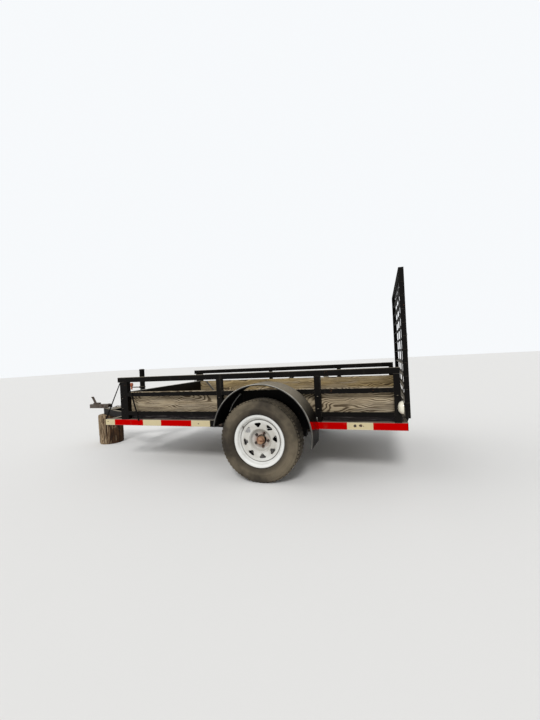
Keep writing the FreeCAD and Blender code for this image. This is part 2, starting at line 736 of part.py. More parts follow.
def make_chains():
    """A safety chain laid along each leg's top; its links meet at their ends."""
    pitch = "link_hole_long"
    half_long, half_wide = "(link_hole_long / 2 + link_bar)", "(link_hole_wide / 2 + link_bar)"
    links = []
    for k in range(round(value("link_count"))):
        middle = f"{half_long} + {k} * {pitch}"
        flat = k % 2 == 0
        size = (f"2 * {half_long}", f"2 * {half_wide}", "link_bar") if flat else (
            f"2 * {half_long}", "link_bar", f"2 * {half_wide}")
        hole = (pitch, "link_hole_wide", "link_bar") if flat else (pitch, "link_bar", "link_hole_wide")
        blocks = []
        for label, (long, wide, tall) in (("bar", size), ("hole", hole)):
            blocks.append(box(f"link_{label}_{k}", f"{middle} - ({long}) / 2", f"-({wide}) / 2",
                              f"{half_wide} - ({tall}) / 2", long, wide, tall))
        links.append(cut(f"link_{k}", *blocks))
    chain = joined("chain", links)
    start = "nose_x + chain_behind"
    turn(chain, (0, 0, 1), -math.degrees(math.atan(value("leg_slope"))))
    place(chain, start, "-" + leg_edge(start, "leg_wide / 2"), "leg_top + nose_plate_thick")
    keep(pair("safety_chains", chain))


def make_jack():
    """Upright tongue jack: tube, bracket, crank and grip, and the leg that winds down."""
    tall = "jack_top - jack_bottom"
    shell = round_bar("jack_shell", "jack_x", 0, "jack_bottom", "jack_radius", tall)
    bore = round_bar("jack_bore", "jack_x", 0, "jack_bottom", "jack_radius - jack_wall", f"{tall} - jack_wall")
    keep(cut("jack_tube", shell, bore))
    block = box("bracket_block", "jack_x", "-jack_radius", "leg_top - jack_bracket_tall",
                "jack_radius + jack_cross_gap", "2 * jack_radius", "jack_bracket_tall")
    space = round_bar("bracket_space", "jack_x", 0, "leg_under", "jack_radius", "leg_height")
    keep(cut("jack_bracket", block, space))
    arm_start = "jack_x - crank_reach"
    keep(round_bar("jack_crank", f"{arm_start} + grip_radius", 0, "crank_height", "crank_radius",
                   "crank_reach - grip_radius - jack_radius", "x"))
    low = "crank_height - grip_below"
    stem = round_bar("grip_stem", arm_start, 0, low, "grip_radius", "grip_tall")
    knob = round_bar("grip_knob", arm_start, 0, f"{low} + grip_tall - knob_tall", "knob_radius", "knob_tall")
    keep(joined("jack_grip", [stem, knob]))
    leg = round_bar("jack_bar", "jack_x", 0, "jack_foot_under", "jack_radius - jack_wall - jack_gap",
                    "jack_leg_top - jack_foot_under")
    foot = round_bar("jack_foot", "jack_x", 0, "jack_foot_under", "jack_foot_radius", "jack_foot_thick")
    hollow = round_bar("jack_leg_bore", "jack_x", 0, "jack_foot_under + jack_foot_thick",
                       "jack_radius - 2 * jack_wall - jack_gap", "jack_leg_top - jack_foot_under")
    keep(cut("jack_leg", joined("leg_and_foot", [leg, foot]), hollow))


def make_axle():
    """Axle tube with spindles and spring seats, leaf springs, hangers, tie plates and U-bolts."""
    tube = round_bar("axle_tube", "axle_x", "-axle_end_y", "tyre_radius", "axle_radius", "2 * axle_end_y", "y")
    reach = "wheel_y + spindle_out"
    spindles = round_bar("spindles", "axle_x", f"-({reach})", "tyre_radius", "spindle_radius", f"2 * ({reach})", "y")
    seat = box("spring_seat", "axle_x - seat_long / 2", "-spring_y - spring_wide / 2", "spring_top",
               "seat_long", "spring_wide", "seat_tall")
    front = "-spring_y - spring_wide / 2"
    keep(joined("axle", [tube, spindles, seat, mirrored("seat_far", seat)]))

    steps = ("spring_half", "second_leaf_half", "third_leaf_half", "leaf_flat")

    def leaf_z(half, level):
        """Height of the stack at a distance from the axle, so many leaves down."""
        return f"spring_top + spring_sag * (({half} - leaf_flat) / (spring_half - leaf_flat))^2 - {level} * leaf_thick"

    right = [(half, leaf_z(half, 0)) for half in steps[::-1]] + [(steps[0], leaf_z(steps[0], 1))]
    for level, half in enumerate(steps[1:3], start=1):
        right += [(half, leaf_z(half, level)), (half, leaf_z(half, level + 1))]
    right.append((steps[3], leaf_z(steps[3], 3)))
    ring = [(f"axle_x + {x}", z) for x, z in right] + [(f"axle_x - {x}", z) for x, z in right[::-1]]
    stack = profile("leaf_stack", "XZ", ring, front, "spring_wide")
    eye_z = "spring_top + spring_sag"
    ends = ("axle_x - spring_half", "axle_x + spring_half")
    eyes = [round_bar(f"eye_{k}", x, front, eye_z, "eye_radius", "spring_wide", "y") for k, x in enumerate(ends)]
    holes = group("eye_holes", [
        round_bar(f"eye_hole_{k}", x, front, eye_z, "eye_bore", "spring_wide", "y") for k, x in enumerate(ends)
    ])
    keep(pair("leaf_springs", cut("leaf_spring", joined("leaves", [stack] + eyes), holes)))

    plates = []
    for k, x in enumerate(ends):
        for side, y in enumerate((f"{front} - hanger_thick", f"{front} + spring_wide")):
            plates.append(box(f"hanger_{k}_{side}", f"{x} - hanger_wide / 2", y, f"{eye_z} - eye_radius",
                              "hanger_wide", "hanger_thick", f"rail_under - ({eye_z}) + eye_radius"))
        plates.append(round_bar(f"hanger_pin_{k}", x, front, eye_z, "eye_bore", "spring_wide", "y"))
    hangers = [joined(f"hanger_{k}", plates[3 * k:3 * k + 3]) for k in range(len(ends))]
    keep(pair("spring_hangers", group("near_hangers", hangers)))

    under = "(spring_top - 3 * leaf_thick)"
    tie = box("tie_plate", "axle_x - tie_long / 2", "-spring_y - tie_wide / 2", f"{under} - tie_thick",
              "tie_long", "tie_wide", "tie_thick")
    keep(pair("tie_plates", tie))

    def bolt(name, y):
        """A flat-sided U over the axle tube, its legs down to the tie plate."""
        half_turn = []
        for reach in ("(axle_radius + bolt_gap)", "(axle_radius + bolt_gap + bolt_wide)"):
            corner = f"{reach} * tan(22.5)"
            half_turn.append([
                (f"axle_x - {reach}", under),
                (f"axle_x - {reach}", f"tyre_radius + {corner}"),
                (f"axle_x - {corner}", f"tyre_radius + {reach}"),
                (f"axle_x + {corner}", f"tyre_radius + {reach}"),
                (f"axle_x + {reach}", f"tyre_radius + {corner}"),
                (f"axle_x + {reach}", under),
            ])
        return profile(name, "XZ", half_turn[0] + half_turn[1][::-1], y, "bolt_wide")

    bolts = [bolt("bolt_out", f"{front} - bolt_wide"), bolt("bolt_in", f"{front} + spring_wide")]
    keep(pair("u_bolts", group("near_bolts", bolts)))


def make_wheels():
    """Tyre, rim, hub, cap and lug nuts, turned about the axle."""
    def at_wheel(item):
        return place(item, "axle_x", "-wheel_y", "tyre_radius")

    half = "tyre_wide / 2"
    outside = (
        ("bead_radius", "bead_half"),
        ("lip_radius", "bead_half"),
        ("bulge_radius", half),
        ("tyre_radius - shoulder_drop", half),
        ("tyre_radius", "tread_half"),
    )
    ring = outside + tuple((r, f"-({y})") for r, y in outside[::-1])
    keep_both(at_wheel(revolved("tyre_body", ring)), "tyre")

    inner, lip = "bead_radius - rim_wall", "bead_half + rim_wall"
    crest = "disc_crest + disc_wall"
    rim = revolved("rim_body", (
        ("disc_bore", "0"),
        ("disc_bore", "-disc_wall"),
        ("disc_flat", "-disc_wall"),
        ("disc_flat", f"-({crest})"),
        (inner, f"-({crest})"),
        (inner, f"-({lip})"),
        ("lip_radius", f"-({lip})"),
        ("lip_radius", "-bead_half"),
        ("bead_radius", "-bead_half"),
        ("bead_radius", "bead_half"),
        ("lip_radius", "bead_half"),
        ("lip_radius", lip),
        (inner, lip),
        (inner, "-disc_crest"),
        ("disc_flat + disc_wall", "-disc_crest"),
        ("disc_flat + disc_wall", "0"),
    ))
    doc.recompute()
    windows = rim.newObject("PartDesign::Pocket", "windows")
    windows.Profile = draw(rim, "XZ", (
        ("window_cut - window_half", "window_out"),
        ("-window_half", "window_out - window_cut"),
        ("-window_foot", "window_in + window_cut"),
        ("window_cut - window_foot", "window_in"),
        ("window_foot - window_cut", "window_in"),
        ("window_foot", "window_in + window_cut"),
        ("window_half", "window_out - window_cut"),
        ("window_half - window_cut", "window_out"),
    ), "0")
    windows.Midplane = True
    bind(windows, Length="2 * (disc_crest + 2 * disc_wall)")
    repeat(rim, windows, "window_count")
    turn(rim, (0, 1, 0), -value("window_phase"))
    keep_both(at_wheel(rim), "rim")

    bore = "spindle_radius + spindle_gap"
    low = "-wheel_y - hub_out"
    barrel = round_bar("hub_barrel", "axle_x", low, "tyre_radius", "hub_radius", "hub_out + hub_in", "y")
    flange = doc.addObject("Part::Prism", "hub_flange_plate")
    flange.Polygon = 10
    bind(flange, Circumradius="hub_flange", Height="hub_flange_thick")
    place(turn(flange, (1, 0, 0), -90), "axle_x", "-wheel_y", "tyre_radius")
    space = round_bar("hub_bore", "axle_x", low, "tyre_radius", bore, "hub_out + hub_in", "y")
    keep_both(cut("hub", joined("hub_solid", [barrel, flange]), space), "hub")
    cap = round_bar("cap", "axle_x", f"{low} - cap_deep", "tyre_radius", "cap_radius", "cap_deep", "y")
    keep_both(cap, "hub_cap")
    nuts = []
    for k in range(round(value("lug_count"))):
        nut = doc.addObject("Part::Prism", f"lug_nut_{k}")
        nut.Polygon = 6
        bind(nut, Circumradius="lug_radius", Height="lug_tall")
        turn(nut, (1, 0, 0), 90)
        angle = f"(lug_phase + {k} * 360 / lug_count)"
        place(nut, f"axle_x + lug_circle / 2 * cos({angle})", "-wheel_y - disc_wall",
              f"tyre_radius + lug_circle / 2 * sin({angle})")
        nuts.append(nut)
    keep_both(group("lug_nuts", nuts), "lug_nuts")


def repeat(body, feature, count):
    """Repeats a feature evenly about the body's Y axis."""
    pattern = body.newObject("PartDesign::PolarPattern", feature.Name + "_all")
    pattern.Originals = [feature]
    pattern.Axis = ([f for f in body.Origin.OriginFeatures if f.Role == "Y_Axis"][0], [""])
    pattern.Angle = 360
    bind(pattern, Occurrences=count)
    body.Tip = pattern
    doc.recompute()


def make_fenders():
    """Rolled fender, its bead, and the plate behind the wheel."""
    def sector(name, radius, y, wide):
        """Part of a cylinder, from the fender's rear end over the top to its front end."""
        item = round_bar(name, "fender_x", y, "fender_centre_up", radius, wide, "y")
        item.Placement.Rotation = Rotation(Vector(1, 0, 0), 90) * Rotation(Vector(0, 0, 1), -value("fender_end"))
        place(item, "fender_x", f"{y} + {wide}", "fender_centre_up")
        bind(item, Angle="180 - fender_start + fender_end")
        return item

    outside = "-side_y - fender_out"
    arc = sector("fender_arc", "fender_radius", outside, "fender_out")
    inside = round_bar("fender_space", "fender_x", f"{outside} - spare", "fender_centre_up",
                       "fender_radius - fender_thick", "fender_out + 2 * spare", "y")
    keep_both(cut("fender", arc, inside), "fender")
    disc = sector("plate_disc", "fender_radius - fender_thick", "-side_y - fender_thick", "fender_thick")
    above = box("plate_limit", "fender_x - fender_radius", "-side_y - fender_thick", "bed_under",
                "2 * fender_radius", "fender_thick", "mid_rail_under + bay_rail_tall - bed_under")
    plate = doc.addObject("Part::MultiCommon", "wheel_plate")
    plate.Shapes = [disc, above]
    keep(pair("wheel_plates", plate))


def make_gate():
    """Ramp gate of angles with cross bars, its hinges and its blank plate."""
    side = profile("gate_side", "XY", (
        ("gate_x", "-gate_half"),
        ("gate_rear", "-gate_half"),
        ("gate_rear", "gate_leg - gate_half"),
        ("gate_rear - gate_wall", "gate_leg - gate_half"),
        ("gate_rear - gate_wall", "gate_wall - gate_half"),
        ("gate_x", "gate_wall - gate_half"),
    ), "gate_under", "gate_tall")
    keep(pair("gate_side_rails", side))
    start, between = "gate_wall - gate_half", "2 * (gate_half - gate_wall)"
    front = "gate_rear - gate_wall"

    def across(name, low, edge, lip):
        """An angle across the gate, ahead of the side rails' rear legs."""
        return profile(name, "XZ", (
            ("gate_x", edge),
            (front, edge),
            (front, lip),
            (f"{front} - gate_wall", lip),
            (f"{front} - gate_wall", low),
            ("gate_x", low),
        ), start, between)

    top = "gate_under + gate_tall"
    keep(group("gate_end_rails", [
        across("gate_bottom", "gate_under + gate_wall", "gate_under", "gate_under + gate_leg"),
        across("gate_top", f"{top} - gate_wall", top, f"{top} - gate_leg"),
    ]))
    members = [
        box(f"gate_member_{k}", front, f"{share} * gate_half - upright_wide / 2", "gate_under",
            "upright_thick", "upright_wide", "gate_tall")
        for k, share in enumerate(("outer_share", "inner_share", "0", "-near_share"))
    ]
    keep(group("gate_uprights", members))
    step = "(gate_tall - gate_bar) / (gate_bar_count + 1)"
    bars = []
    for k in range(1, round(value("gate_bar_count")) + 1):
        low = f"(gate_under + {k} * {step})"
        bars.append(profile(f"gate_bar_{k}", "XZ", (
            (front, low),
            (front, f"{low} + gate_bar"),
            (f"{front} - gate_bar_wall", f"{low} + gate_bar"),
            (f"{front} - gate_bar_wall", f"{low} + gate_bar_wall"),
            (f"{front} - gate_bar", f"{low} + gate_bar_wall"),
            (f"{front} - gate_bar", low),
        ), start, between))
    keep(group("gate_bars", bars))
    keep(box("blank_plate", "gate_rear", "plate_inset - gate_half", "plate_under",
             "plate_thick", "plate_wide", "plate_tall"))
    make_hinges()


def make_hinges():
    """Two barrels with leaves on the gate, lugs and pins on the frame."""
    low_y = "-hinge_half - barrel_long / 2"
    barrel = round_bar("barrel", "hinge_x", low_y, "hinge_up", "barrel_radius", "barrel_long", "y")
    leaf = box("hinge_leaf", "gate_rear - gate_wall", low_y, "hinge_up", "leaf_plate_thick", "barrel_long",
               "leaf_plate_tall")
    hole = round_bar("barrel_hole", "hinge_x", low_y, "hinge_up", "hinge_pin + hinge_gap", "barrel_long", "y")
    keep(pair("gate_hinges", cut("gate_hinge", joined("barrel_and_leaf", [barrel, leaf]), hole)))
    lugs = []
    reach = "(barrel_long / 2 + lug_gap)"
    for side, y in enumerate((f"-hinge_half - {reach} - lug_thick", f"{reach} - hinge_half")):
        lugs.append(profile(f"lug_{side}", "XZ", (
            ("rear_x", "rail_under"),
            ("hinge_x", "hinge_up - lug_end"),
            ("hinge_x", "hinge_up + lug_end", "lug_end + 0.001"),
            ("rear_x", "bed_under"),
        ), y, "lug_thick"))
    pin = round_bar("hinge_pin_bar", "hinge_x", f"-hinge_half - {reach} - lug_thick", "hinge_up",
                    "hinge_pin", f"2 * ({reach} + lug_thick)", "y")
    keep(pair("hinge_lugs", joined("hinge_lug", lugs + [pin])))


def make_lamps():
    """A round lamp half beyond each rear post: a flat face to the rear and a bowl ahead of it."""
    shape = [("0", "0"), ("lamp_radius", "0")]
    for share, reach in ((1, 0.16), (0.9, 0.5), (0.64, 0.8), (0.3, 1)):
        shape.append((f"lamp_radius * {share}", f"lamp_deep * {reach}"))
    shape.append(("0", "lamp_deep"))
    bowl = place(turn(revolved("lamp_bowl", shape), (0, 0, 1), 90), "rear_post_x + lamp_behind", "-side_y", "lamp_up")
    space = box("lamp_space", "rear_post_x - lamp_deep", "-side_y", "lamp_up - 2 * lamp_radius",
                "lamp_deep", "2 * lamp_radius", "4 * lamp_radius")
    keep(pair("rear_lamps", cut("lamp", bowl, space)))


def check():
    """Stops if any object failed or any sub-part is empty or invalid."""
    doc.recompute()
    failed = [o.Name for o in doc.Objects if {"Invalid", "Error"} & set(o.State)]
    bad = [name for name, item in nodes.items() if item.Shape.isNull() or not item.Shape.isValid()]
    if failed or bad:
        raise RuntimeError(f"failed {failed}, not valid {bad}")


def write():
    """Writes each sub-part under its own name."""
    os.makedirs("parts", exist_ok=True)
    for name, item in nodes.items():
        item.Shape.exportStep(f"parts/{name}.step")


make_frame()
make_deck()
make_posts()
make_rails()
make_walls()
make_tongue()
make_coupler()
make_chains()
make_jack()
make_axle()
make_wheels()
make_fenders()
make_gate()
make_lamps()
check()
write()
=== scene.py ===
"""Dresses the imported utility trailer: finishes for its steel, timber and rubber, and the small forms on them.

Every piece is in metres in the trailer's own frame: +X to the ramp gate, -Y is the near side, +Z up.
"""

import json
import math

import bmesh
import bpy
from mathutils import Matrix, Vector, noise


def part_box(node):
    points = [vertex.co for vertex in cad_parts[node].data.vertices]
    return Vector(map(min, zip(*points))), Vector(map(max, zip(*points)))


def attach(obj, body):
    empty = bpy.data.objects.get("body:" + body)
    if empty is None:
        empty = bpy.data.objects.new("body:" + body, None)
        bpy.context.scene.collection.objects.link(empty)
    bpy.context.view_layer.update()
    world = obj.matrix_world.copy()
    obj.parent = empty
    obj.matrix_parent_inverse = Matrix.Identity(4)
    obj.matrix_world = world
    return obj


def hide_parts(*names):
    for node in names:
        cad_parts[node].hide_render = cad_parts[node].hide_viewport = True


bl_info = {
    "name": "Utility Trailer",
    "version": (1, 0, 0),
    "blender": (4, 5, 0),
    "location": "View3D > Sidebar > Trailer",
    "description": "Builds the finishes and small forms of a single-axle utility trailer",
    "category": "Object",
}

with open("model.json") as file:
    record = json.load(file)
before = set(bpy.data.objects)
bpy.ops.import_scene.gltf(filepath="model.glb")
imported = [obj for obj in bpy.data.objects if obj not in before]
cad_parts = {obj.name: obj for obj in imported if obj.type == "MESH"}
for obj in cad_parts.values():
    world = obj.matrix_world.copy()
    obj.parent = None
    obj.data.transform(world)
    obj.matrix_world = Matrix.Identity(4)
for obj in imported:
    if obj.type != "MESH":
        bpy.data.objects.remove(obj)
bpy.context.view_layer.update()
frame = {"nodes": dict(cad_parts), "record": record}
SIDES = (("near", -1), ("far", 1))
FULL_TURN = 2 * math.pi


# Sizes and colours that a user may change

def length(name, text, size):
    """A length in metres with its label."""
    return bpy.props.FloatProperty(
        name=name, description=text, default=size, min=0, unit="LENGTH", precision=4
    )


def tint(name, text, red, green, blue):
    """A colour with its label."""
    return bpy.props.FloatVectorProperty(
        name=name, description=text, subtype="COLOR", size=3, min=0, max=1, default=(red, green, blue)
    )


def tally(name, text, number):
    """A whole number with its label."""
    return bpy.props.IntProperty(name=name, description=text, default=number, min=1)


class TrailerSizes(bpy.types.PropertyGroup):
    """Sizes of the pieces that this script adds."""

    tread_depth: length("Tread depth", "Height of the tread blocks", 0.008)
    tread_count: tally("Tread pitches", "Rows of tread blocks round a tyre", 64)
    window_count: tally("Rim windows", "Openings in each wheel disc", 8)
    tape_height: length("Tape height", "Height of the reflective tape", 0.0585)
    tape_thick: length("Tape thickness", "How far the tape stands off the rail", 0.0006)
    bark_depth: length("Bark depth", "Depth of the furrows in the log", 0.006)
    rolled_edge: length("Rolled edge", "Radius of the fender's rolled edge", 0.007)
    bolt_head: length("Bolt head", "Radius of a bolt head", 0.011)


class TrailerColours(bpy.types.PropertyGroup):
    """Colours of the finishes."""

    paint: tint("Paint", "Black paint on the steel", 0.0036, 0.0029, 0.0024)
    dust: tint("Dust", "Dust on upper faces", 0.31, 0.27, 0.205)
    rust: tint("Rust", "Rust where the paint is gone", 0.20, 0.075, 0.03)
    board: tint("Board", "Weathered side boards", 0.43, 0.345, 0.225)
    board_inside: tint("Board inside", "Inner faces of the side boards", 0.40, 0.295, 0.135)
    board_dark: tint("Board grain", "Dark grain of the side boards", 0.055, 0.034, 0.017)
    plank: tint("Plank", "Deck planks", 0.30, 0.24, 0.165)
    bark: tint("Bark", "Log's side", 0.088, 0.044, 0.020)
    rubber: tint("Rubber", "Tyre rubber", 0.015, 0.0115, 0.0085)
    rim: tint("Rim", "Wheel rims", 0.72, 0.72, 0.69)
    tape_red: tint("Red tape", "Red lengths of the tape", 0.47, 0.0, 0.0)
    tape_white: tint("White tape", "White lengths of the tape", 0.60, 0.51, 0.31)
    grip: tint("Grip", "Crank's grip", 0.37, 0.095, 0.038)
    lens: tint("Lamp", "Lamp's housing", 0.80, 0.76, 0.62)
    floor: tint("Floor", "Plain floor", 0.80, 0.79, 0.77)


def sizes():
    """The scene's chosen sizes."""
    return bpy.context.scene.trailer_sizes


def colours():
    """The scene's chosen colours."""
    return bpy.context.scene.trailer_colours


def middle_of(node):
    """The middle of a CAD sub-part."""
    low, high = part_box(node)
    return (low + high) / 2


# Shader building

class Wire:
    """A shader socket that takes part in ordinary maths."""

    def __init__(self, shader, socket):
        self.shader, self.socket = shader, socket

    def maths(self, operation, *others):
        """A Math node on this value and others."""
        return self.shader.node("ShaderNodeMath", {"operation": operation}, (self, *others))

    def __add__(self, other):
        return self.maths("ADD", other)

    def __mul__(self, other):
        return self.maths("MULTIPLY", other)

    def __sub__(self, other):
        return self.maths("SUBTRACT", other)

    def __truediv__(self, other):
        return self.maths("DIVIDE", other)

    def __pow__(self, other):
        return self.maths("POWER", other)

    def __rsub__(self, other):
        return self.shader.node("ShaderNodeMath", {"operation": "SUBTRACT"}, (other, self))

    __radd__ = __add__
    __rmul__ = __mul__

    def between(self, low, high):
        """0 below low and 1 above high, with a smooth step between."""
        values = {"Value": self, "From Min": low, "From Max": high}
        return self.shader.node("ShaderNodeMapRange", {"interpolation_type": "SMOOTHSTEP"}, values)


class Shader:
    """Builds one material's nodes."""

    def __init__(self, name, tree=None):
        if tree is None:
            self.material = bpy.data.materials.new(name + "_finish")
            self.material.use_nodes = True
            tree = self.material.node_tree
        self.tree = tree
        tree.nodes.clear()

    def feed(self, socket, value):
        """Links or sets one input."""
        if isinstance(value, Wire):
            self.tree.links.new(value.socket, socket)
        elif socket.type == "RGBA":
            socket.default_value = (*value, 1.0)[:4]
        else:
            socket.default_value = value

    def node(self, kind, settings=None, values=(), output=0):
        """Adds any node, its settings first and then its inputs, and gives the chosen output."""
        item = self.tree.nodes.new(kind)
        for key, value in (settings or {}).items():
            setattr(item, key, value)
        pairs = values.items() if isinstance(values, dict) else enumerate(values)
        for key, value in pairs:
            self.feed(item.inputs[key], value)
        return Wire(self, item.outputs[output]) if item.outputs else item

    def vector(self, operation, values, output=0):
        """A Vector Math node."""
        return self.node("ShaderNodeVectorMath", {"operation": operation}, values, output)

    def place(self, scale=(1, 1, 1), shift=(0, 0, 0), turn=(0, 0, 0), start=None):
        """The surface's own place, or another one given as start, scaled, shifted and turned."""
        start = start or self.node("ShaderNodeTexCoord", output="Object")
        values = {"Vector": start, "Location": shift, "Rotation": turn, "Scale": scale}
        return self.node("ShaderNodeMapping", values=values)

    def around(self, node, across):
        """The place about a sub-part's axle or upright, and how far from that line a point lies."""
        local = self.place(shift=[-part * used for part, used in zip(middle_of(node), across)])
        return local, self.vector("LENGTH", (self.vector("MULTIPLY", (local, across)),), "Value")

    def axis(self, vector, letter):
        """One component of a vector."""
        return self.node("ShaderNodeSeparateXYZ", values=(vector,), output=letter)

    def facing(self, letter="Z"):
        """How far the surface faces along an axis of its own piece."""
        return self.axis(self.node("ShaderNodeTexCoord", output="Normal"), letter)

    def noise(self, vector, scale, detail=4.0, roughness=0.55, distortion=0.0):
        """Fractal noise from 0 to 1."""
        values = {
            "Vector": vector, "Scale": scale, "Detail": detail, "Roughness": roughness,
            "Distortion": distortion,
        }
        return self.node("ShaderNodeTexNoise", values=values)

    def cells(self, vector, output):
        """Distance to the nearest scattered point, or that point's random colour."""
        return self.node("ShaderNodeTexVoronoi", values={"Vector": vector, "Scale": 1.0}, output=output)

    def mix(self, factor, low, high, blend="MIX"):
        """Blends two colours."""
        settings = {"data_type": "RGBA", "blend_type": blend}
        return self.node("ShaderNodeMix", settings, {0: factor, 6: low, 7: high}, output=2)

    def surface(self, base, rough, relief=None, specular=0.5, metallic=0.0, coat=0.0):
        """The material's surface. Its relief is a height, and the strength and depth of the bump it makes."""
        values = {
            "Base Color": base, "Roughness": rough, "Specular IOR Level": specular, "Metallic": metallic,
            "Coat Weight": coat,
        }
        if relief:
            height, strength, depth = relief
            bump = {"Strength": strength, "Distance": depth, "Height": height}
            values["Normal"] = self.node("ShaderNodeBump", values=bump)
        shader = self.node("ShaderNodeBsdfPrincipled", values=values)
        self.node("ShaderNodeOutputMaterial", values={"Surface": shader})
        return self.material


# Finishes

def painted_steel(name):
    """Worn black paint: dusty ledges, thin pale streaks and small rusty chips."""
    s, c = Shader(name), colours()
    here = s.place()
    patches, fine = s.noise(here, 3.5, 6), s.noise(here, 60, 5)
    streaks = s.noise(s.place(scale=(22, 22, 3.5)), 1.0, 6, 0.6)
    up = s.facing("Z").between(0.3, 0.95)
    mottled = (patches * 1.5 - 0.05).between(0.2, 0.85) * (fine * 0.8 + 0.5)
    dust = up * 0.85 * mottled + streaks.between(0.56, 0.85) * 0.06 + patches.between(0.55, 0.85) * 0.02
    chips = s.noise(here, 26, 8, 0.7).between(0.66, 0.69)
    base = s.mix(dust, c.paint, c.dust)
    base = s.mix(chips * 0.7, base, s.mix(fine, c.rust, (0.06, 0.024, 0.013)))
    height = fine * 0.5 + patches * 0.3 - chips * 0.6
    return s.surface(base, 0.42 + patches * 0.15 + dust * 0.4 + chips * 0.25, (height, 0.25, 0.002), 0.07)


def timber(name, upright, pitch, lines, seed):
    """Weathered boards along X: growth lines bow into arches, bend round knots and turn grey in patches."""
    s, c = Shader(name), colours()
    here = s.place()
    x, y, z = (s.axis(here, letter) for letter in "XYZ")
    board = (y / pitch + seed).maths("FLOOR")
    moved = s.node("ShaderNodeCombineXYZ", values=(x + board * 7.3, y, z))

    def stretched(along, over, detail, roughness=0.55):
        """Noise drawn out along the board."""
        return s.noise(s.place(scale=(along, over, over), start=moved), 1.0, detail, roughness)

    bow = stretched(2.1, 5.4, 2.0, 0.5)
    spots = s.place(scale=(1.7, 5.5, 5.5), start=moved)
    knot = s.cells(spots, "Distance")
    swell = (1 - knot.between(0.0, 0.36)) ** 2.0
    across = z if upright else y
    phase = across * lines + bow * 120.0 + swell * 15.0 + stretched(7, 26, 3) * 4.2
    wave = (phase.maths("SINE") * 0.5 + 0.5) ** 1.6
    depth = stretched(2.2, 7.0, 3).between(0.30, 0.62)
    fibre, threads = stretched(5.0, 70.0, 5, 0.6), stretched(9.0, 210.0, 4, 0.6)
    grain = (wave * (depth * 0.66 + 0.34) + (fibre - 0.5) * 2.0 + threads * 0.16).between(0.10, 0.78)
    heart = (1 - knot.between(0.035, 0.10)) * s.axis(s.cells(spots, "Color"), "X").between(0.45, 0.55)
    weather, pale = stretched(1.7, 8.0, 5), stretched(3.2, 24.0, 4).between(0.52, 0.72)
    light, dark = c.plank, (0.042, 0.030, 0.019)
    if upright:
        inside = (y * s.facing("Y")).between(0.1, -0.1)
        light, dark = s.mix(inside, c.board, c.board_inside), c.board_dark
    base = s.mix(weather.between(0.40, 0.66) * 0.55, light, (0.30, 0.265, 0.21))
    base = s.mix(pale * 0.45, base, (0.60, 0.53, 0.42))
    base = s.mix(grain * 0.90, base, dark)
    base = s.mix(heart * 0.85, base, (0.035, 0.019, 0.010))
    if not upright:
        tone = s.node("ShaderNodeTexWhiteNoise", {"noise_dimensions": "1D"}, {"W": board + 3.3})
        base = s.mix(tone * 0.3, base, (0.17, 0.13, 0.09), "MULTIPLY")
    base = s.mix(stretched(2.6, 12.0, 5).between(0.62, 0.74) * 0.5, base, (0.07, 0.052, 0.036))
    if not upright:
        # Plank sides facing across the deck, mostly in the gaps between planks, are darkened towards
        # grey-black.
        edge = s.facing("Y").maths("ABSOLUTE").between(0.75, 0.95)
        overlay = s.mix(fibre.between(0.52, 0.66), (0.030, 0.026, 0.030), (0.17, 0.155, 0.15))
        base = s.mix(edge * 0.92, base, overlay)
    height = threads * 0.35 + fibre * 0.5 - wave * 0.45 - heart * 0.4
    return s.surface(base, 0.80 + grain * 0.12, (height, 0.7, 0.004), 0.25)


def side_timber(name):
    """The wide side boards."""
    return timber(name, True, 5.0, 410.0, 0.5)


def deck_timber(name):
    """The deck's planks."""
    return timber(name, False, 0.1428, 260.0, 4.986)


def bark(name):
    """Dark furrowed bark, painted paler on its face towards the front as painted sunlight, and rings on the
    sawn ends.
    """
    s, c = Shader(name), colours()
    here = s.place()
    local, reach = s.around("log_stump", (1, 1, 0))
    furrows, patches = s.noise(s.place(scale=(1, 1, 0.20)), 34, 6, 0.62, 0.6), s.noise(here, 9, 5)
    side = s.mix(furrows.between(0.34, 0.66), (0.020, 0.011, 0.007), c.bark)
    # Painted sunlight: faces turned to the front (-X) are mixed towards a pale bark colour, as if lit.
    overlay = (s.facing("X") + patches * 0.5).between(0.72, 0.42)
    side = s.mix(overlay * 0.8, side, s.mix(furrows.between(0.3, 0.7), (0.10, 0.065, 0.038), (0.42, 0.32, 0.20)))
    side = s.mix(patches.between(0.62, 0.74) * 0.6, side, (0.30, 0.22, 0.15))
    rings = ((reach + s.noise(here, 9, 3) * 0.012) * 520).maths("SINE") * 0.5 + 0.5
    end = s.mix(rings * 0.6, (0.34, 0.25, 0.155), (0.17, 0.11, 0.062))
    end = s.mix(s.noise(local, 30, 5).between(0.6, 0.7) * 0.6, end, (0.05, 0.03, 0.02))
    base = s.mix(s.facing("Z").maths("ABSOLUTE").between(0.75, 0.95), side, end)
    return s.surface(base, 0.9, (furrows + patches * 0.3, 0.9, 0.008), 0.2)


def rubber(name):
    """Dusty tyre: brown dust smeared over the sides, darker grooves and tread, and painted shade in a ring next
    to the rim.
    """
    s, c = Shader(name), colours()
    here = s.place()
    broad, patches, fine = s.noise(here, 3.2, 3), s.noise(here, 9, 6), s.noise(here, 130, 4)
    reach = s.around("tyre_near", (1, 0, 1))[1]
    side = s.facing("Y").maths("ABSOLUTE").between(0.15, 0.8)
    scuffs = (reach * 900 + patches * 9).maths("SINE") * 0.5 + 0.5
    # Painted shade: less dust towards the bead makes a darker ring next to the rim.
    painted_bead_shade = reach.between(0.226, 0.276) * 0.62 + 0.38
    dust = broad.between(0.34, 0.60) * 0.80 + patches.between(0.35, 0.75) * 0.30 + 0.06
    dust = dust * (side * 0.75 + 0.25) * (fine * 0.5 + 0.7) * (scuffs * 0.12 + 0.88) * painted_bead_shade
    base = s.mix(dust, c.rubber, s.mix(patches, (0.225, 0.187, 0.125), (0.125, 0.100, 0.070)))
    return s.surface(base, 0.78 + dust * 0.15, (fine, 0.25, 0.001), 0.25)


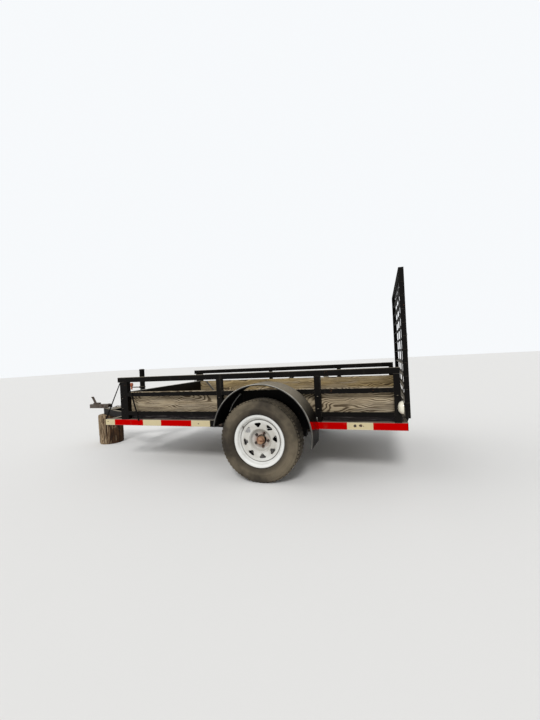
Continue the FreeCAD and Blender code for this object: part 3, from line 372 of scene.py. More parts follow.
def rim_finish(name):
    """Pale paint with a dusty disc, dirt in the seam round it, rust near the hub, and painted shade that makes
    the barrel behind the disc near black.
    """
    s, c = Shader(name), colours()
    local, reach = s.around("rim_near", (1, 0, 1))
    patches, fine, broad = s.noise(local, 9, 6), s.noise(local, 90, 4), s.noise(local, 4.2, 2)
    dust = (1 - reach.between(0.13, 0.185)) * (broad.between(0.34, 0.62) * 0.55 + 0.12)
    dust = dust + patches.between(0.50, 0.8) * 0.30
    base = s.mix(dust, c.rim, s.mix(fine, (0.31, 0.285, 0.235), (0.42, 0.39, 0.33)))
    seam = reach.between(0.1672, 0.1710) * (1 - reach.between(0.1722, 0.1775))
    base = s.mix(seam * 0.8, base, (0.075, 0.06, 0.045))
    # Painted shade: the inside of the barrel, behind the disc, is made near black.
    painted_barrel_shade = reach.between(0.1690, 0.1703) * (1 - s.axis(local, "Y").maths("ABSOLUTE").between(0.944, 0.953))
    base = s.mix(painted_barrel_shade * 0.97, base, (0.006, 0.004, 0.003))
    stains = (1 - reach.between(0.035, 0.090)) * patches.between(0.33, 0.60)
    spots = s.noise(local, 46, 6, 0.7).between(0.66, 0.70)
    base = s.mix(stains * 0.85 + spots * 0.45, base, s.mix(fine, (0.22, 0.10, 0.055), (0.30, 0.17, 0.12)))
    return s.surface(base, 0.38 + dust * 0.4 + stains * 0.2, (fine + patches, 0.12, 0.001), 0.35)


def rust(name):
    """Brown-pink rust, darker in its pits."""
    s, c = Shader(name), colours()
    here = s.place()
    patches, fine = s.noise(here, 34, 6, 0.65), s.noise(here, 160, 5)
    base = s.mix(patches.between(0.36, 0.62), (0.12, 0.052, 0.030), (0.39, 0.235, 0.145))
    base = s.mix(fine.between(0.52, 0.72), base, c.rust)
    return s.surface(base, 0.85, (fine + patches, 0.6, 0.002), 0.25)


def nut_steel(name):
    """Dark oily steel with brown rust."""
    s = Shader(name)
    here = s.place()
    patches, fine = s.noise(here, 60, 5), s.noise(here, 210, 4)
    base = s.mix(patches.between(0.4, 0.65), (0.030, 0.024, 0.021), (0.115, 0.062, 0.04))
    return s.surface(base, 0.62 + fine * 0.2, (fine, 0.4, 0.001), metallic=0.25)


def rubbed_edge(name):
    """Black paint turned grey on faces turned up: a painted sunlit highlight, broken up with dust patches."""
    s, c = Shader(name), colours()
    here = s.place()
    patches, fine = s.noise(here, 12, 6), s.noise(here, 90, 4)
    # Painted highlight: faces turned up are mixed towards grey, as if in sun, with dust patches.
    lit = s.facing("Z").between(-0.35, 0.75)
    dust = lit * (patches.between(0.25, 0.65) * 0.55 + 0.40) * (fine * 0.5 + 0.7)
    base = s.mix(dust, c.paint, (0.42, 0.40, 0.35))
    return s.surface(base, 0.5 + dust * 0.3, (fine, 0.2, 0.001), 0.3)


def bare_steel(name):
    """Worn steel, grey where rubbed and brown in patches."""
    s, c = Shader(name), colours()
    here = s.place()
    patches, fine = s.noise(here, 18, 6), s.noise(here, 110, 4)
    stains = patches.between(0.42, 0.66)
    base = s.mix(stains, (0.090, 0.072, 0.058), (0.048, 0.028, 0.018))
    base = s.mix(fine.between(0.6, 0.75) * 0.6, base, c.rust * 0.5)
    up = s.facing("Z").between(0.4, 0.95)
    base = s.mix(up * patches.between(0.3, 0.6) * 0.35, base, (0.30, 0.26, 0.21))
    return s.surface(base, 0.5 + stains * 0.35, (fine, 0.3, 0.001), metallic=0.40 - stains * 0.35)


def plate_metal(name):
    """Dull sheet aluminium."""
    s = Shader(name)
    streaks = s.noise(s.place(scale=(1, 3, 60)), 4, 5)
    stains = s.noise(s.place(), 16, 5).between(0.45, 0.75)
    base = s.mix(stains * 0.6, (0.52, 0.52, 0.51), (0.30, 0.27, 0.23))
    return s.surface(base, 0.42 + stains * 0.3, (streaks, 0.1, 0.001), metallic=0.7)


def coloured(tone, rough, grit, overlay, coat=0.0):
    """A plain finish of a colour, or of one of the scene's colours by name, with dirt and fine grit."""
    def build(name):
        s = Shader(name)
        here = s.place()
        patches, fine = s.noise(here, 22, 6), s.noise(here, 140, 4)
        dirt = patches.between(0.45, 0.8) * grit + fine.between(0.6, 0.8) * grit * 0.5
        clean = getattr(colours(), tone) if isinstance(tone, str) else tone
        relief = (fine + patches, 0.12, 0.001)
        return s.surface(s.mix(dirt, clean, overlay), rough + dirt * 0.3, relief, coat=coat)
    return build


def tape(tone, border=None):
    """Reflective tape: a fine diamond weave, dust, and a thin clear border along a side rail's tape."""
    def build(name):
        s, clean = Shader(name), tuple(getattr(colours(), tone))
        here = s.place(turn=(0, math.radians(45), 0))
        x, z = s.axis(here, "X"), s.axis(here, "Z")
        weave = (x * 900).maths("SINE") * (z * 900).maths("SINE")
        off = (s.axis(s.place(), "Z") - middle_of("side_rail_near").z).maths("ABSOLUTE")
        dirt = s.noise(s.place(), 16, 6).between(0.54, 0.8) * 0.35
        base = s.mix(weave.between(-0.3, 0.3) * 0.5, clean, tuple(part * 0.78 for part in clean))
        base = s.mix(off.between(0.0252, 0.0274) * 0.55, base, border or clean)
        base = s.mix(dirt, base, s.mix(0.5, clean, (0.14, 0.11, 0.08)))
        return s.surface(base, 0.5 + dirt * 0.4, (weave, 0.1, 0.0005), 0.0)
    return build


FINISHES = {
    "black_paint": painted_steel,
    "board_wood": side_timber,
    "deck_wood": deck_timber,
    "log_wood": bark,
    "tyre_rubber": rubber,
    "rim_paint": rim_finish,
    "rusty_steel": rust,
    "nut_steel": nut_steel,
    "rubbed_edge": rubbed_edge,
    "worn_steel": bare_steel,
    "plate_metal": plate_metal,
    "grip_orange": coloured("grip", 0.5, 0.45, (0.22, 0.09, 0.05)),
    "lamp_ivory": coloured("lens", 0.22, 0.25, (0.4, 0.34, 0.24), 0.5),
    "lamp_lens": coloured((0.66, 0.60, 0.44), 0.16, 0.25, (0.36, 0.30, 0.2), 0.5),
    "chain_steel": coloured((0.42, 0.41, 0.38), 0.45, 0.7, (0.13, 0.085, 0.06)),
    "tape_red": tape("tape_red", (0.36, 0.16, 0.15)),
    "tape_fender": tape("tape_red"),
    "tape_white": tape("tape_white", (0.66, 0.62, 0.50)),
}


def finish(name):
    """A finish by name, built once."""
    return bpy.data.materials.get(name + "_finish") or FINISHES[name](name)


# Mesh building

def linked(name, data):
    """A new object in the scene."""
    item = bpy.data.objects.new(name, data)
    bpy.context.scene.collection.objects.link(item)
    return item


def softened(mesh, angle):
    """Shades a mesh smooth, apart from its sharp edges."""
    mesh.polygons.foreach_set("use_smooth", [True] * len(mesh.polygons))
    mesh.set_sharp_from_angle(angle=math.radians(angle))
    return mesh


def to_mesh(shape, smooth=30.0):
    """Turns a bmesh into a mesh with its normals outwards and soft edges shaded smooth."""
    bmesh.ops.remove_doubles(shape, verts=shape.verts, dist=1e-6)
    bmesh.ops.recalc_face_normals(shape, faces=shape.faces)
    mesh = bpy.data.meshes.new("shape")
    shape.to_mesh(mesh)
    shape.free()
    return softened(mesh, smooth) if smooth else mesh


def piece(name, form, look, body, node=None, smooth=30.0):
    """Adds a bmesh or a mesh to a body of the trailer as a piece, which may stand for a CAD sub-part."""
    mesh = form if isinstance(form, bpy.types.Mesh) else to_mesh(form, smooth)
    mesh.name = name
    item = linked(name, mesh)
    mesh.materials.clear()
    mesh.materials.append(finish(look))
    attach(item, body)
    if node:
        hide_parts(node)


def applied(item):
    """The object's mesh with its modifiers applied, and the object removed."""
    mesh = bpy.data.meshes.new_from_object(item.evaluated_get(bpy.context.evaluated_depsgraph_get()))
    bpy.data.objects.remove(item)
    return mesh


def thickened(shape, wall, offset=0):
    """A sheet made as thick as its steel."""
    item = linked("sheet", to_mesh(shape))
    solid = item.modifiers.new("wall", "SOLIDIFY")
    solid.thickness, solid.offset = wall, offset
    return applied(item)


def joined(*meshes):
    """One mesh from several."""
    shape = bmesh.new()
    for mesh in meshes:
        shape.from_mesh(mesh)
    whole = bpy.data.meshes.new("whole")
    shape.to_mesh(whole)
    shape.free()
    return softened(whole, 32)


def angles(steps):
    """Even steps round a full turn."""
    return [FULL_TURN * k / steps for k in range(steps)]


def on_wheel(middle, side, radius, angle, reach):
    """A place about a wheel's axis, at a reach outwards from the wheel's middle."""
    return middle + Vector((radius * math.cos(angle), side * reach, radius * math.sin(angle)))


def bridge(shape, rings, closed=False, capped=False):
    """Faces between rings, each of points or one point, joined to a loop or capped at both ends if asked."""
    pairs = list(zip(rings, rings[1:]))
    if closed:
        pairs.append((rings[-1], rings[0]))
    for one, two in pairs:
        steps = max(len(one), len(two))
        for k in range(steps):
            j = (k + 1) % steps
            if len(one) == 1:
                shape.faces.new((one[0], two[j], two[k]))
            elif len(two) == 1:
                shape.faces.new((one[k], one[j], two[0]))
            else:
                shape.faces.new((one[k], one[j], two[j], two[k]))
    if capped:
        shape.faces.new(rings[0][::-1])
        shape.faces.new(rings[-1])


def add_block(shape, low, high, bevel=0.0, segments=1):
    """A box between two corners with bevelled edges."""
    made = bmesh.ops.create_cube(shape, size=1.0)["verts"]
    low, high = Vector(low), Vector(high)
    size, middle = high - low, (low + high) / 2
    for vert in made:
        vert.co = vert.co * size + middle
    if bevel:
        edges = list({edge for vert in made for edge in vert.link_edges})
        bmesh.ops.bevel(shape, geom=edges, offset=bevel, segments=segments, profile=0.5, affect="EDGES")


def add_turned(shape, outline, centre, along="Y", side=1, steps=96, closed=False):
    """Turns an outline of (radius, reach) about an axis, with its reach to one side, and gives its rings."""
    order = {"X": (2, 0, 1), "Y": (0, 2, 1), "Z": (0, 1, 2)}[along]
    rings = []
    for radius, reach in outline:
        turns = angles(steps if radius else 1)
        spots = [(radius * math.cos(a), radius * math.sin(a), side * reach) for a in turns]
        rings.append([shape.verts.new(centre + Vector([spot[part] for part in order])) for spot in spots])
    bridge(shape, rings, closed)
    return rings


def add_tube(shape, path, radius, steps=12):
    """A round bar along points."""
    points = [Vector(point) for point in path]
    rings, side = [], None
    for k, point in enumerate(points):
        ahead = (points[min(k + 1, len(points) - 1)] - points[max(k - 1, 0)]).normalized()
        side = side or ahead.orthogonal().normalized()
        side = (side - ahead * side.dot(ahead)).normalized()
        up = ahead.cross(side)
        ways = [side * math.cos(a) + up * math.sin(a) for a in angles(steps)]
        rings.append([shape.verts.new(point + way * radius) for way in ways])
    bridge(shape, rings, capped=True)


# Geometry node trees

class Tree:
    """Builds one geometry node tree, which takes a geometry and a finish and gives copies of a form."""

    def __init__(self, name):
        self.tree = bpy.data.node_groups.new(name, "GeometryNodeTree")
        self.tree.interface.new_socket(name="Geometry", in_out="OUTPUT", socket_type="NodeSocketGeometry")
        self.entry = self.tree.nodes.new("NodeGroupInput")
        self.geometry, self.finish = self.take(Geometry="Geometry", Finish="Material")

    def take(self, **kinds):
        """Adds named inputs and gives their sockets."""
        for label, kind in kinds.items():
            self.tree.interface.new_socket(name=label, in_out="INPUT", socket_type="NodeSocket" + kind)
        return [self.entry.outputs[label] for label in kinds]

    def node(self, kind, settings=None, values=None, output=0):
        """Adds a node, its settings first and then its inputs, and gives the chosen output."""
        item = self.tree.nodes.new(kind)
        for key, value in (settings or {}).items():
            setattr(item, key, value)
        for key, value in (values or {}).items():
            if isinstance(value, bpy.types.NodeSocket):
                self.tree.links.new(value, item.inputs[key])
            else:
                item.inputs[key].default_value = value
        return item.outputs[output]

    def maths(self, operation, one, two, kind="ShaderNodeMath", where=1):
        """A Math or Vector Math node on two values."""
        return self.node(kind, {"operation": operation}, {0: one, where: two})

    def close(self, points, form, **values):
        """Puts copies of a form at points, makes them real, sets the finish and ends the tree."""
        values.update(Points=points, Instance=form)
        copies = self.node("GeometryNodeInstanceOnPoints", values=values)
        real = self.node("GeometryNodeRealizeInstances", values={"Geometry": copies})
        done = self.node("GeometryNodeSetMaterial", values={"Geometry": real, "Material": self.finish})
        self.tree.links.new(done, self.tree.nodes.new("NodeGroupOutput").inputs["Geometry"])
        return self.tree


def grown(mesh, make_tree, look, **inputs):
    """Runs a node tree, made at its first use, on a mesh and gives the result as a plain mesh."""
    name = make_tree.__name__
    tree = bpy.data.node_groups.get(name) or make_tree(Tree(name))
    inputs["finish"] = finish(look)
    modifier = linked("grown", mesh).modifiers.new("made", "NODES")
    modifier.node_group = tree
    for socket in tree.interface.items_tree:
        if socket.in_out == "INPUT" and socket.name.lower() in inputs:
            modifier[socket.identifier] = inputs[socket.name.lower()]
    return applied(modifier.id_data)


def wheel_ring(t):
    """Repeats the given geometry round an axis along Y through a centre."""
    count, start, centre = t.take(Count="Int", Start="Float", Centre="Vector")
    points = t.node("GeometryNodePoints", values={"Count": count, "Position": centre})
    share = t.maths("DIVIDE", t.node("GeometryNodeInputIndex"), count)
    swung = t.maths("ADD", t.maths("MULTIPLY", share, FULL_TURN), start)
    return t.close(points, t.geometry, Rotation=t.node("ShaderNodeCombineXYZ", values={1: swung}))


def point_heads(t):
    """Puts a low round head, such as a bolt's, at each given point."""
    radius, height, crown, sides = t.take(Radius="Float", Height="Float", Crown="Float", Sides="Int")
    turn, uneven = t.take(Turn="Vector", Uneven="Float")
    top = t.maths("MULTIPLY", radius, crown)
    form = {"Vertices": sides, "Radius Top": top, "Radius Bottom": radius, "Depth": height}
    head = t.node("GeometryNodeMeshCone", values=form)
    least = t.maths("SUBTRACT", 1.0, uneven)
    size = t.node("FunctionNodeRandomValue", {"data_type": "FLOAT"}, {"Seed": 5, 2: least, 3: 1.0}, output=1)
    return t.close(t.geometry, head, Rotation=turn, Scale=size)


def chain_links(t):
    """Repeats the given link along a line, every other one turned on its side."""
    count, start, step, heading = t.take(Count="Int", Start="Vector", Step="Vector", Heading="Float")
    index = t.node("GeometryNodeInputIndex")
    moved = t.maths("SCALE", step, index, "ShaderNodeVectorMath", "Scale")
    place = t.maths("ADD", moved, start, "ShaderNodeVectorMath")
    points = t.node("GeometryNodePoints", values={"Count": count, "Position": place})
    roll = t.maths("MULTIPLY", t.maths("MODULO", index, 2.0), math.pi / 2)
    return t.close(points, t.geometry, Rotation=t.node("ShaderNodeCombineXYZ", values={0: roll, 2: heading}))


FACING = {
    "up": (0, 0, 0), "near": (math.pi / 2, 0, 0), "far": (-math.pi / 2, 0, 0), "rear": (0, math.pi / 2, 0),
}


def heads(points, way, radius, height, look, crown, sides, uneven=0.0):
    """Heads at points, all facing one way. The crown is the top's share of the radius."""
    mesh = bpy.data.meshes.new("points")
    mesh.from_pydata([tuple(point) for point in points], [], [])
    return grown(
        mesh, point_heads, look, radius=radius, height=height, crown=crown, sides=sides, uneven=uneven,
        turn=FACING[way],
    )


# Places on the frame, in metres

POSTS = (-0.7665, 0.3445, 1.2575, 1.8785)
POST_WIDE = 0.050
BAY_RAILS = ((0.500, 0.538), (0.690, 0.728))
RAIL_FACE = 0.7622
SIDE_RAIL_TOP, TOP_RAIL_UNDER = 0.455, 0.835
# Kinds of head: radius, height, finish, crown and number of sides, and for welds how uneven they are
DECK_SCREW = (0.0048, 0.0018, "nut_steel", 0.8, 10)
PLATE_SCREW = (0.006, 0.003, "worn_steel", 0.7, 12)
WASHER = (0.017, 0.003, "worn_steel", 0.95, 18)
END_BOLT = (0.0115, 0.008, "worn_steel", 0.9, 6)
SIDE_BOLT = (0.0095, 0.0065, "worn_steel", 0.92, 6)
LEG_BOLT = (0.0095, 0.007, "worn_steel", 0.92, 6)
RAIL_WELD = (0.0042, 0.0016, "black_paint", 0.45, 8, 0.35)
GATE_WELD = (0.0035, 0.0014, "black_paint", 0.45, 8, 0.4)
# A board bolt as above, without its radius
BOARD_BOLT = (0.005, "black_paint", 0.6, 14)


# Pieces

# Sub-parts whose upper faces get the grey of a painted sunlit highlight, mixed with dust
HIGHLIGHTED_PARTS = ("corner_braces", "front_wall_angle")


class TRAILER_OT_steel(bpy.types.Operator):
    """Gives each CAD sub-part its finish."""

    bl_idname = "trailer.steel"
    bl_label = "Finishes"

    def execute(self, context):
        for part in frame["record"]["subparts"]:
            materials = frame["nodes"][part["node"]].data.materials
            materials.clear()
            materials.append(finish("rubbed_edge" if part["node"] in HIGHLIGHTED_PARTS else part["material_slot"]))
        return {"FINISHED"}


# Where each length of tape starts and ends along X
TAPES = {
    "red": ((-0.857, -0.499), (-0.285, 0.059), (1.215, 1.511), (1.714, 1.969)),
    "white": ((-0.976, -0.857), (-0.499, -0.285), (0.059, 0.260), (1.511, 1.714)),
}
# Scraped patches on the tape: middle's X and Z, half width and half height
SCRAPES = (
    (1.575, 0.427, 0.013, 0.011), (1.618, 0.430, 0.014, 0.010), (1.640, 0.426, 0.004, 0.003),
    (0.137, 0.422, 0.006, 0.006), (-0.944, 0.431, 0.010, 0.003),
)
SCRAPE_THICK = 0.0004


class TRAILER_OT_tapes(bpy.types.Operator):
    """Lays red and white reflective tape along the side rails."""

    bl_idname = "trailer.tapes"
    bl_label = "Reflective tape"

    def execute(self, context):
        half, thick = sizes().tape_height / 2, sizes().tape_thick
        for name, side in SIDES:
            low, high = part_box("side_rail_" + name)
            face, middle = low.y if side < 0 else high.y, (low.z + high.z) / 2
            back, front = sorted((face, face + side * thick))
            low, high = (back, middle - half), (front, middle + half)
            self.lengths("red", name, low, high)
            self.scrapes(name, side, face + side * thick)
            self.lengths("white", name, low, high)
        return {"FINISHED"}

    def lengths(self, colour, name, low, high):
        """The lengths of one colour, between two corners given by Y and Z."""
        shape = bmesh.new()
        for start, end in TAPES[colour]:
            add_block(shape, (start, *low), (end, *high))
        piece(f"tape_{colour}_{name}", shape, "tape_" + colour, "trailer", smooth=0)

    def scrapes(self, name, side, face):
        """Thin dark patches where the tape is scraped through."""
        shape = bmesh.new()
        for number, (x, z, wide, tall) in enumerate(SCRAPES):
            back, front = [], []
            for a in angles(14):
                ragged = 1 + 0.38 * noise.noise(Vector((math.cos(a) * 1.7, math.sin(a) * 1.7, number * 3.1)))
                u, v = x + wide * ragged * math.cos(a), z + tall * ragged * math.sin(a)
                back.append(shape.verts.new((u, face, v)))
                front.append(shape.verts.new((u, face + side * SCRAPE_THICK, v)))
            bridge(shape, (back, front), capped=True)
        piece("tape_scrapes_" + name, shape, "nut_steel", "trailer", smooth=0)


# Half a tyre's outline up to the tread: radius and reach
TYRE_SIDE = (
    (0.1925, 0.0660), (0.1925, 0.0738), (0.2152, 0.0742), (0.2172, 0.0792), (0.2200, 0.0858),
    (0.2215, 0.0882), (0.2255, 0.0925), (0.2270, 0.0945), (0.2302, 0.0962), (0.2316, 0.0958),
    (0.2450, 0.1003), (0.2620, 0.1022), (0.2635, 0.1032), (0.2665, 0.1032), (0.2680, 0.1022),
    (0.2840, 0.1012), (0.3000, 0.0985), (0.3015, 0.0993), (0.3040, 0.0985), (0.3055, 0.0970),
    (0.3150, 0.0938), (0.3235, 0.0885), (0.3285, 0.0825),
)
TREAD_REACHES = (0.0745, 0.0300)
# Rows of tread blocks: start, end, share of the pitch left as a gap, and how far a block leans
RIBS = (
    (-0.0755, -0.052, 0.30, -0.16), (-0.046, -0.019, 0.12, -0.16), (-0.013, 0.013, 0.0, 0.0),
    (0.019, 0.046, 0.12, 0.16), (0.052, 0.0755, 0.30, 0.16),
)
BLOCK_ROOT, BLOCK_EASE = 0.004, 0.0012


class TRAILER_OT_tyres(bpy.types.Operator):
    """Tyres with a rounded side, raised side rings and a ribbed tread."""

    bl_idname = "trailer.tyres"
    bl_label = "Tyres"

    def execute(self, context):
        size = sizes()
        for name, side in SIDES:
            low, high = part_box("tyre_" + name)
            middle, outer = (low + high) / 2, (high.z - low.z) / 2
            base = outer - size.tread_depth
            half = [*TYRE_SIDE, *((base, reach) for reach in TREAD_REACHES)]
            sides, blocks = bmesh.new(), bmesh.new()
            outline = half + [(radius, -reach) for radius, reach in half[::-1]]
            add_turned(sides, outline, middle, "Y", side, 128, True)
            for rib in RIBS:
                self.block(blocks, base - BLOCK_ROOT, outer, FULL_TURN / size.tread_count, *rib)
            tread = grown(
                to_mesh(blocks), wheel_ring, "tyre_rubber", count=size.tread_count, start=0.0, centre=middle
            )
            whole = joined(to_mesh(sides), tread)
            piece("tyre_detail_" + name, whole, "tyre_rubber", "wheel_" + name, node="tyre_" + name)
        return {"FINISHED"}

    def block(self, shape, low, high, pitch, start, end, gap, lean):
        """One tread block, skewed along its length, with its edges eased."""
        rings = []
        for radius, ease in ((low, 0.0), (high - BLOCK_EASE, 0.0), (high, BLOCK_EASE)):
            ring = []
            for out, edge in ((start + ease, 0), (start + ease, 1), (end - ease, 1), (end - ease, 0)):
                skew = lean * (out - start) / (end - start)
                angle = pitch * (edge * (1 - gap) + skew) + (1 - 2 * edge) * ease / radius
                ring.append(shape.verts.new((radius * math.sin(angle), out, radius * math.cos(angle))))
            rings.append(ring)
        bridge(shape, rings, capped=True)


# Outlines of the rim: radius and reach
RIM_BARREL = (
    (0.2138, 0.0768), (0.2136, 0.0793), (0.2112, 0.0808), (0.2060, 0.0806), (0.1995, 0.0780),
    (0.1930, 0.0735), (0.1900, 0.0690), (0.1885, 0.0600), (0.1860, 0.0545), (0.1805, 0.0480),
    (0.1748, 0.0425), (0.1728, 0.0370), (0.1728, 0.0150), (0.1780, 0.0040), (0.1860, -0.0300),
    (0.1875, -0.0700), (0.1925, -0.0755), (0.2010, -0.0795), (0.2138, -0.0800),
)
DISC_EDGE = (
    (0.1720, 0.0300), (0.1718, 0.0350), (0.1710, 0.0395), (0.1697, 0.0432), (0.1680, 0.0460),
    (0.1655, 0.0478),
)
DISC_CENTRE = (
    (0.0980, 0.0470), (0.0945, 0.0442), (0.0912, 0.0380), (0.0880, 0.0250), (0.0860, 0.0140),
    (0.0830, 0.0080), (0.0780, 0.0055), (0.0700, 0.0050), (0.0470, 0.0050), (0.0435, 0.0055),
    (0.0415, 0.0040),
)
BARREL_WALL, DISC_WALL = 0.004, 0.0045
CREST_IN, CREST_MIDDLE, CREST_OUT = 0.0980, 0.1300, 0.1655
WINDOW_ROUND, WINDOW_TALL = 0.0262, 0.0205
# Loops round a window from its edge inwards: size against the hole's, and depth under the crest
WINDOW_LOOPS = ((1.13, 0.0), (1.04, 0.0014), (0.98, 0.005))
FIRST_WINDOW = math.radians(90 + 6.5)
VALVE_ANGLE, VALVE_RADIUS = math.radians(142), 0.0042
# The valve's foot and tip: radius and reach
VALVE_ENDS = ((0.181, 0.052), (0.170, 0.079))


class TRAILER_OT_rims(bpy.types.Operator):
    """Pressed steel rims with rounded windows, a rolled lip and a valve."""

    bl_idname = "trailer.rims"
    bl_label = "Rims"

    def execute(self, context):
        sector = FULL_TURN / sizes().window_count
        for name, side in SIDES:
            middle = middle_of("tyre_" + name)
            barrel, disc, valve = bmesh.new(), bmesh.new(), bmesh.new()
            add_turned(barrel, RIM_BARREL, middle, "Y", side)
            for outline in (DISC_EDGE, DISC_CENTRE):
                add_turned(disc, outline, middle, "Y", side)
            for k in range(sizes().window_count):
                self.window(disc, middle, side, FIRST_WINDOW + sector * k, sector)
            whole = joined(thickened(barrel, BARREL_WALL), thickened(disc, DISC_WALL))
            piece("rim_detail_" + name, whole, "rim_paint", "wheel_" + name, node="rim_" + name)
            foot, tip = (on_wheel(middle, side, radius, VALVE_ANGLE, reach) for radius, reach in VALVE_ENDS)
            add_tube(valve, (foot, foot.lerp(tip, 0.5), tip), VALVE_RADIUS, 10)
            piece("valve_" + name, valve, "nut_steel", "wheel_" + name)
        return {"FINISHED"}

    def window(self, shape, middle, side, angle, sector):
        """The part of the disc round one window, open in its middle."""
        steps, rises = 12, 6
        tall = CREST_OUT - CREST_IN
        edge = [(-sector / 2 + sector * k / steps, CREST_IN) for k in range(steps + 1)]
        edge += [(sector / 2, CREST_IN + tall * k / rises) for k in range(1, rises)]
        edge += [(sector / 2 - sector * k / steps, CREST_OUT) for k in range(steps + 1)]
        edge += [(-sector / 2, CREST_OUT - tall * k / rises) for k in range(1, rises)]
        loops = [[] for _ in range(1 + len(WINDOW_LOOPS))]
        for swing, radius in edge:
            way = math.atan2(radius - CREST_MIDDLE, swing * CREST_MIDDLE / 1.25)
            reach = 1 + 0.18 * math.cos(3 * (way + math.pi / 2))
            u, v = math.cos(way) * reach * WINDOW_ROUND, math.sin(way) * reach * WINDOW_TALL
            spots = [(swing, radius, 0.0)]
            spots += [(u * grow / CREST_MIDDLE, CREST_MIDDLE + v * grow, sink) for grow, sink in WINDOW_LOOPS]
            for loop, (turn, far, sink) in zip(loops, spots):
                loop.append(self.spot(shape, middle, side, angle + turn, far, sink))
        bridge(shape, loops)

    def spot(self, shape, middle, side, angle, radius, sink):
        """A point on the disc's crest."""
        share = min(max((radius - CREST_IN) / (CREST_OUT - CREST_IN), 0), 1)
        out = 0.0470 + 0.0008 * share + 0.0016 * math.sin(math.pi * share) - sink
        return shape.verts.new(on_wheel(middle, side, radius, angle, out))


# Outline of a hub cap: share of its radius, and reach past its foot or short of its tip
CAP_FOOT = ((0, 0), (0.98, 0), (1, 0.002), (0.99, 0.006), (0.93, 0.0075))
CAP_TIP = (
    (0.92, 0.011), (0.88, 0.006), (0.80, 0.0028), (0.62, 0.0008), (0.58, 0.0016), (0.30, 0.0018),
    (0, 0.0016),
)
NUT_CIRCLE, NUT_COUNT, FIRST_NUT = 0.05715, 5, math.radians(90 - 65)
NUT_RADIUS, NUT_CHAMFER = 0.0118, 0.82
# A nut's foot, body and chamfer, and its stud's end: radius below and above, and number of sides
NUT_PARTS = (
    (NUT_RADIUS, NUT_RADIUS, 6), (NUT_RADIUS, NUT_RADIUS, 6), (NUT_RADIUS, NUT_RADIUS * NUT_CHAMFER, 6),
    (0.006, 0.0052, 12),
)


class TRAILER_OT_hubs(bpy.types.Operator):
    """Rusty hub caps and lug nuts on studs."""

    bl_idname = "trailer.hubs"
    bl_label = "Hub caps and lug nuts"

    def execute(self, context):
        for name, side in SIDES:
            middle, body = middle_of("tyre_" + name), "wheel_" + name
            radius, foot, tip = self.reaches("hub_cap_" + name, middle)
            cap = bmesh.new()
            outline = [(radius * share, foot + reach) for share, reach in CAP_FOOT]
            outline += [(radius * share, tip - reach) for share, reach in CAP_TIP]
            add_turned(cap, outline, middle, "Y", side, 48)
            for vert in cap.verts:
                vert.co += Vector((0.4, 1.0, 0.4)) * 0.0012 * noise.noise(vert.co * 60)
            piece("hub_cap_detail_" + name, cap, "rusty_steel", body, node="hub_cap_" + name)
            nut = to_mesh(self.nut(side, *self.reaches("lug_nuts_" + name, middle)[1:]))
            nuts = grown(nut, wheel_ring, "nut_steel", count=NUT_COUNT, start=FIRST_NUT, centre=middle)
            piece("lug_nut_detail_" + name, nuts, "nut_steel", body, "lug_nuts_" + name)
        return {"FINISHED"}

    def reaches(self, node, middle):
        """A sub-part's radius, and the reaches of its foot and its tip from the wheel's middle."""
        low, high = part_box(node)
        return (high.z - low.z) / 2, *sorted((abs(low.y - middle.y), abs(high.y - middle.y)))

    def nut(self, side, foot, tip):
        """A chamfered nut with the end of its stud, as a stack of parts that each have a cap."""
        shape, centre = bmesh.new(), Vector((0, 0, NUT_CIRCLE))
        reaches = (foot, foot + 0.004, tip - 0.004, tip - 0.0015, tip)
        for start, end, (below, above, sides) in zip(reaches, reaches[1:], NUT_PARTS):
            rings = add_turned(shape, ((below, start), (above, end)), centre, "Y", side, sides)
            shape.faces.new(rings[-1])
        return shape


PLANK_COUNT, PLANK_GAP = 10, 0.004
BOARD_BEVEL, PLANK_BEVEL = 0.0025, 0.002
# Numbers that make each side board and plank uneven in its own way
BOARD_SEED, PLANK_SEED = 3.0, 20.0
BOARD_LENGTHS = 48


class TRAILER_OT_boards(bpy.types.Operator):
    """Side boards and deck planks with eased, slightly uneven edges."""

    bl_idname = "trailer.boards"
    bl_label = "Boards and planks"

    def execute(self, context):
        for name, side in SIDES:
            shape = bmesh.new()
            self.board(shape, *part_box("side_board_" + name), BOARD_BEVEL, BOARD_SEED + side)
            node = "side_board_" + name
            piece("side_board_detail_" + name, shape, "board_wood", "trailer", node=node, smooth=40)
        low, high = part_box("deck_planks")
        wide = (high.y - low.y - (PLANK_COUNT - 1) * PLANK_GAP) / PLANK_COUNT
        shape = bmesh.new()
        for k in range(PLANK_COUNT):
            start = low.y + k * (wide + PLANK_GAP)
            foot, top = Vector((low.x, start, low.z)), Vector((high.x, start + wide, high.z))
            self.board(shape, foot, top, PLANK_BEVEL, PLANK_SEED + k)
        piece("deck_planks_detail", shape, "deck_wood", "trailer", node="deck_planks", smooth=40)
        return {"FINISHED"}

    def board(self, shape, low, high, bevel, seed):
        """A sawn board with eased edges that wander a little."""
        part, middle = bmesh.new(), (low + high) / 2
        add_block(part, low, high, bevel, 2)
        for k in range(1, BOARD_LENGTHS):
            everything = part.verts[:] + part.edges[:] + part.faces[:]
            cut = (low.x + (high.x - low.x) * k / BOARD_LENGTHS, 0, 0)
            bmesh.ops.bisect_plane(part, geom=everything, plane_co=cut, plane_no=(1, 0, 0))
        for vert in part.verts:
            away = vert.co - middle
            wander = noise.noise(Vector((vert.co.x * 3.1, seed, 0.0)))
            chip = noise.noise(Vector((vert.co.x * 17.0, vert.co.y * 9 + seed, vert.co.z * 9)))
            pull = 0.0007 * (1 + wander) + 0.0009 * max(chip, 0)
            vert.co.y -= math.copysign(pull, away.y)
            vert.co.z -= math.copysign(pull, away.z)
        mesh = bpy.data.meshes.new("board")
        part.to_mesh(mesh)
        part.free()
        shape.from_mesh(mesh)
        bpy.data.meshes.remove(mesh)


LOG_ROUGH, LOG_STEPS, LOG_ROWS = 0.004, 180, 28


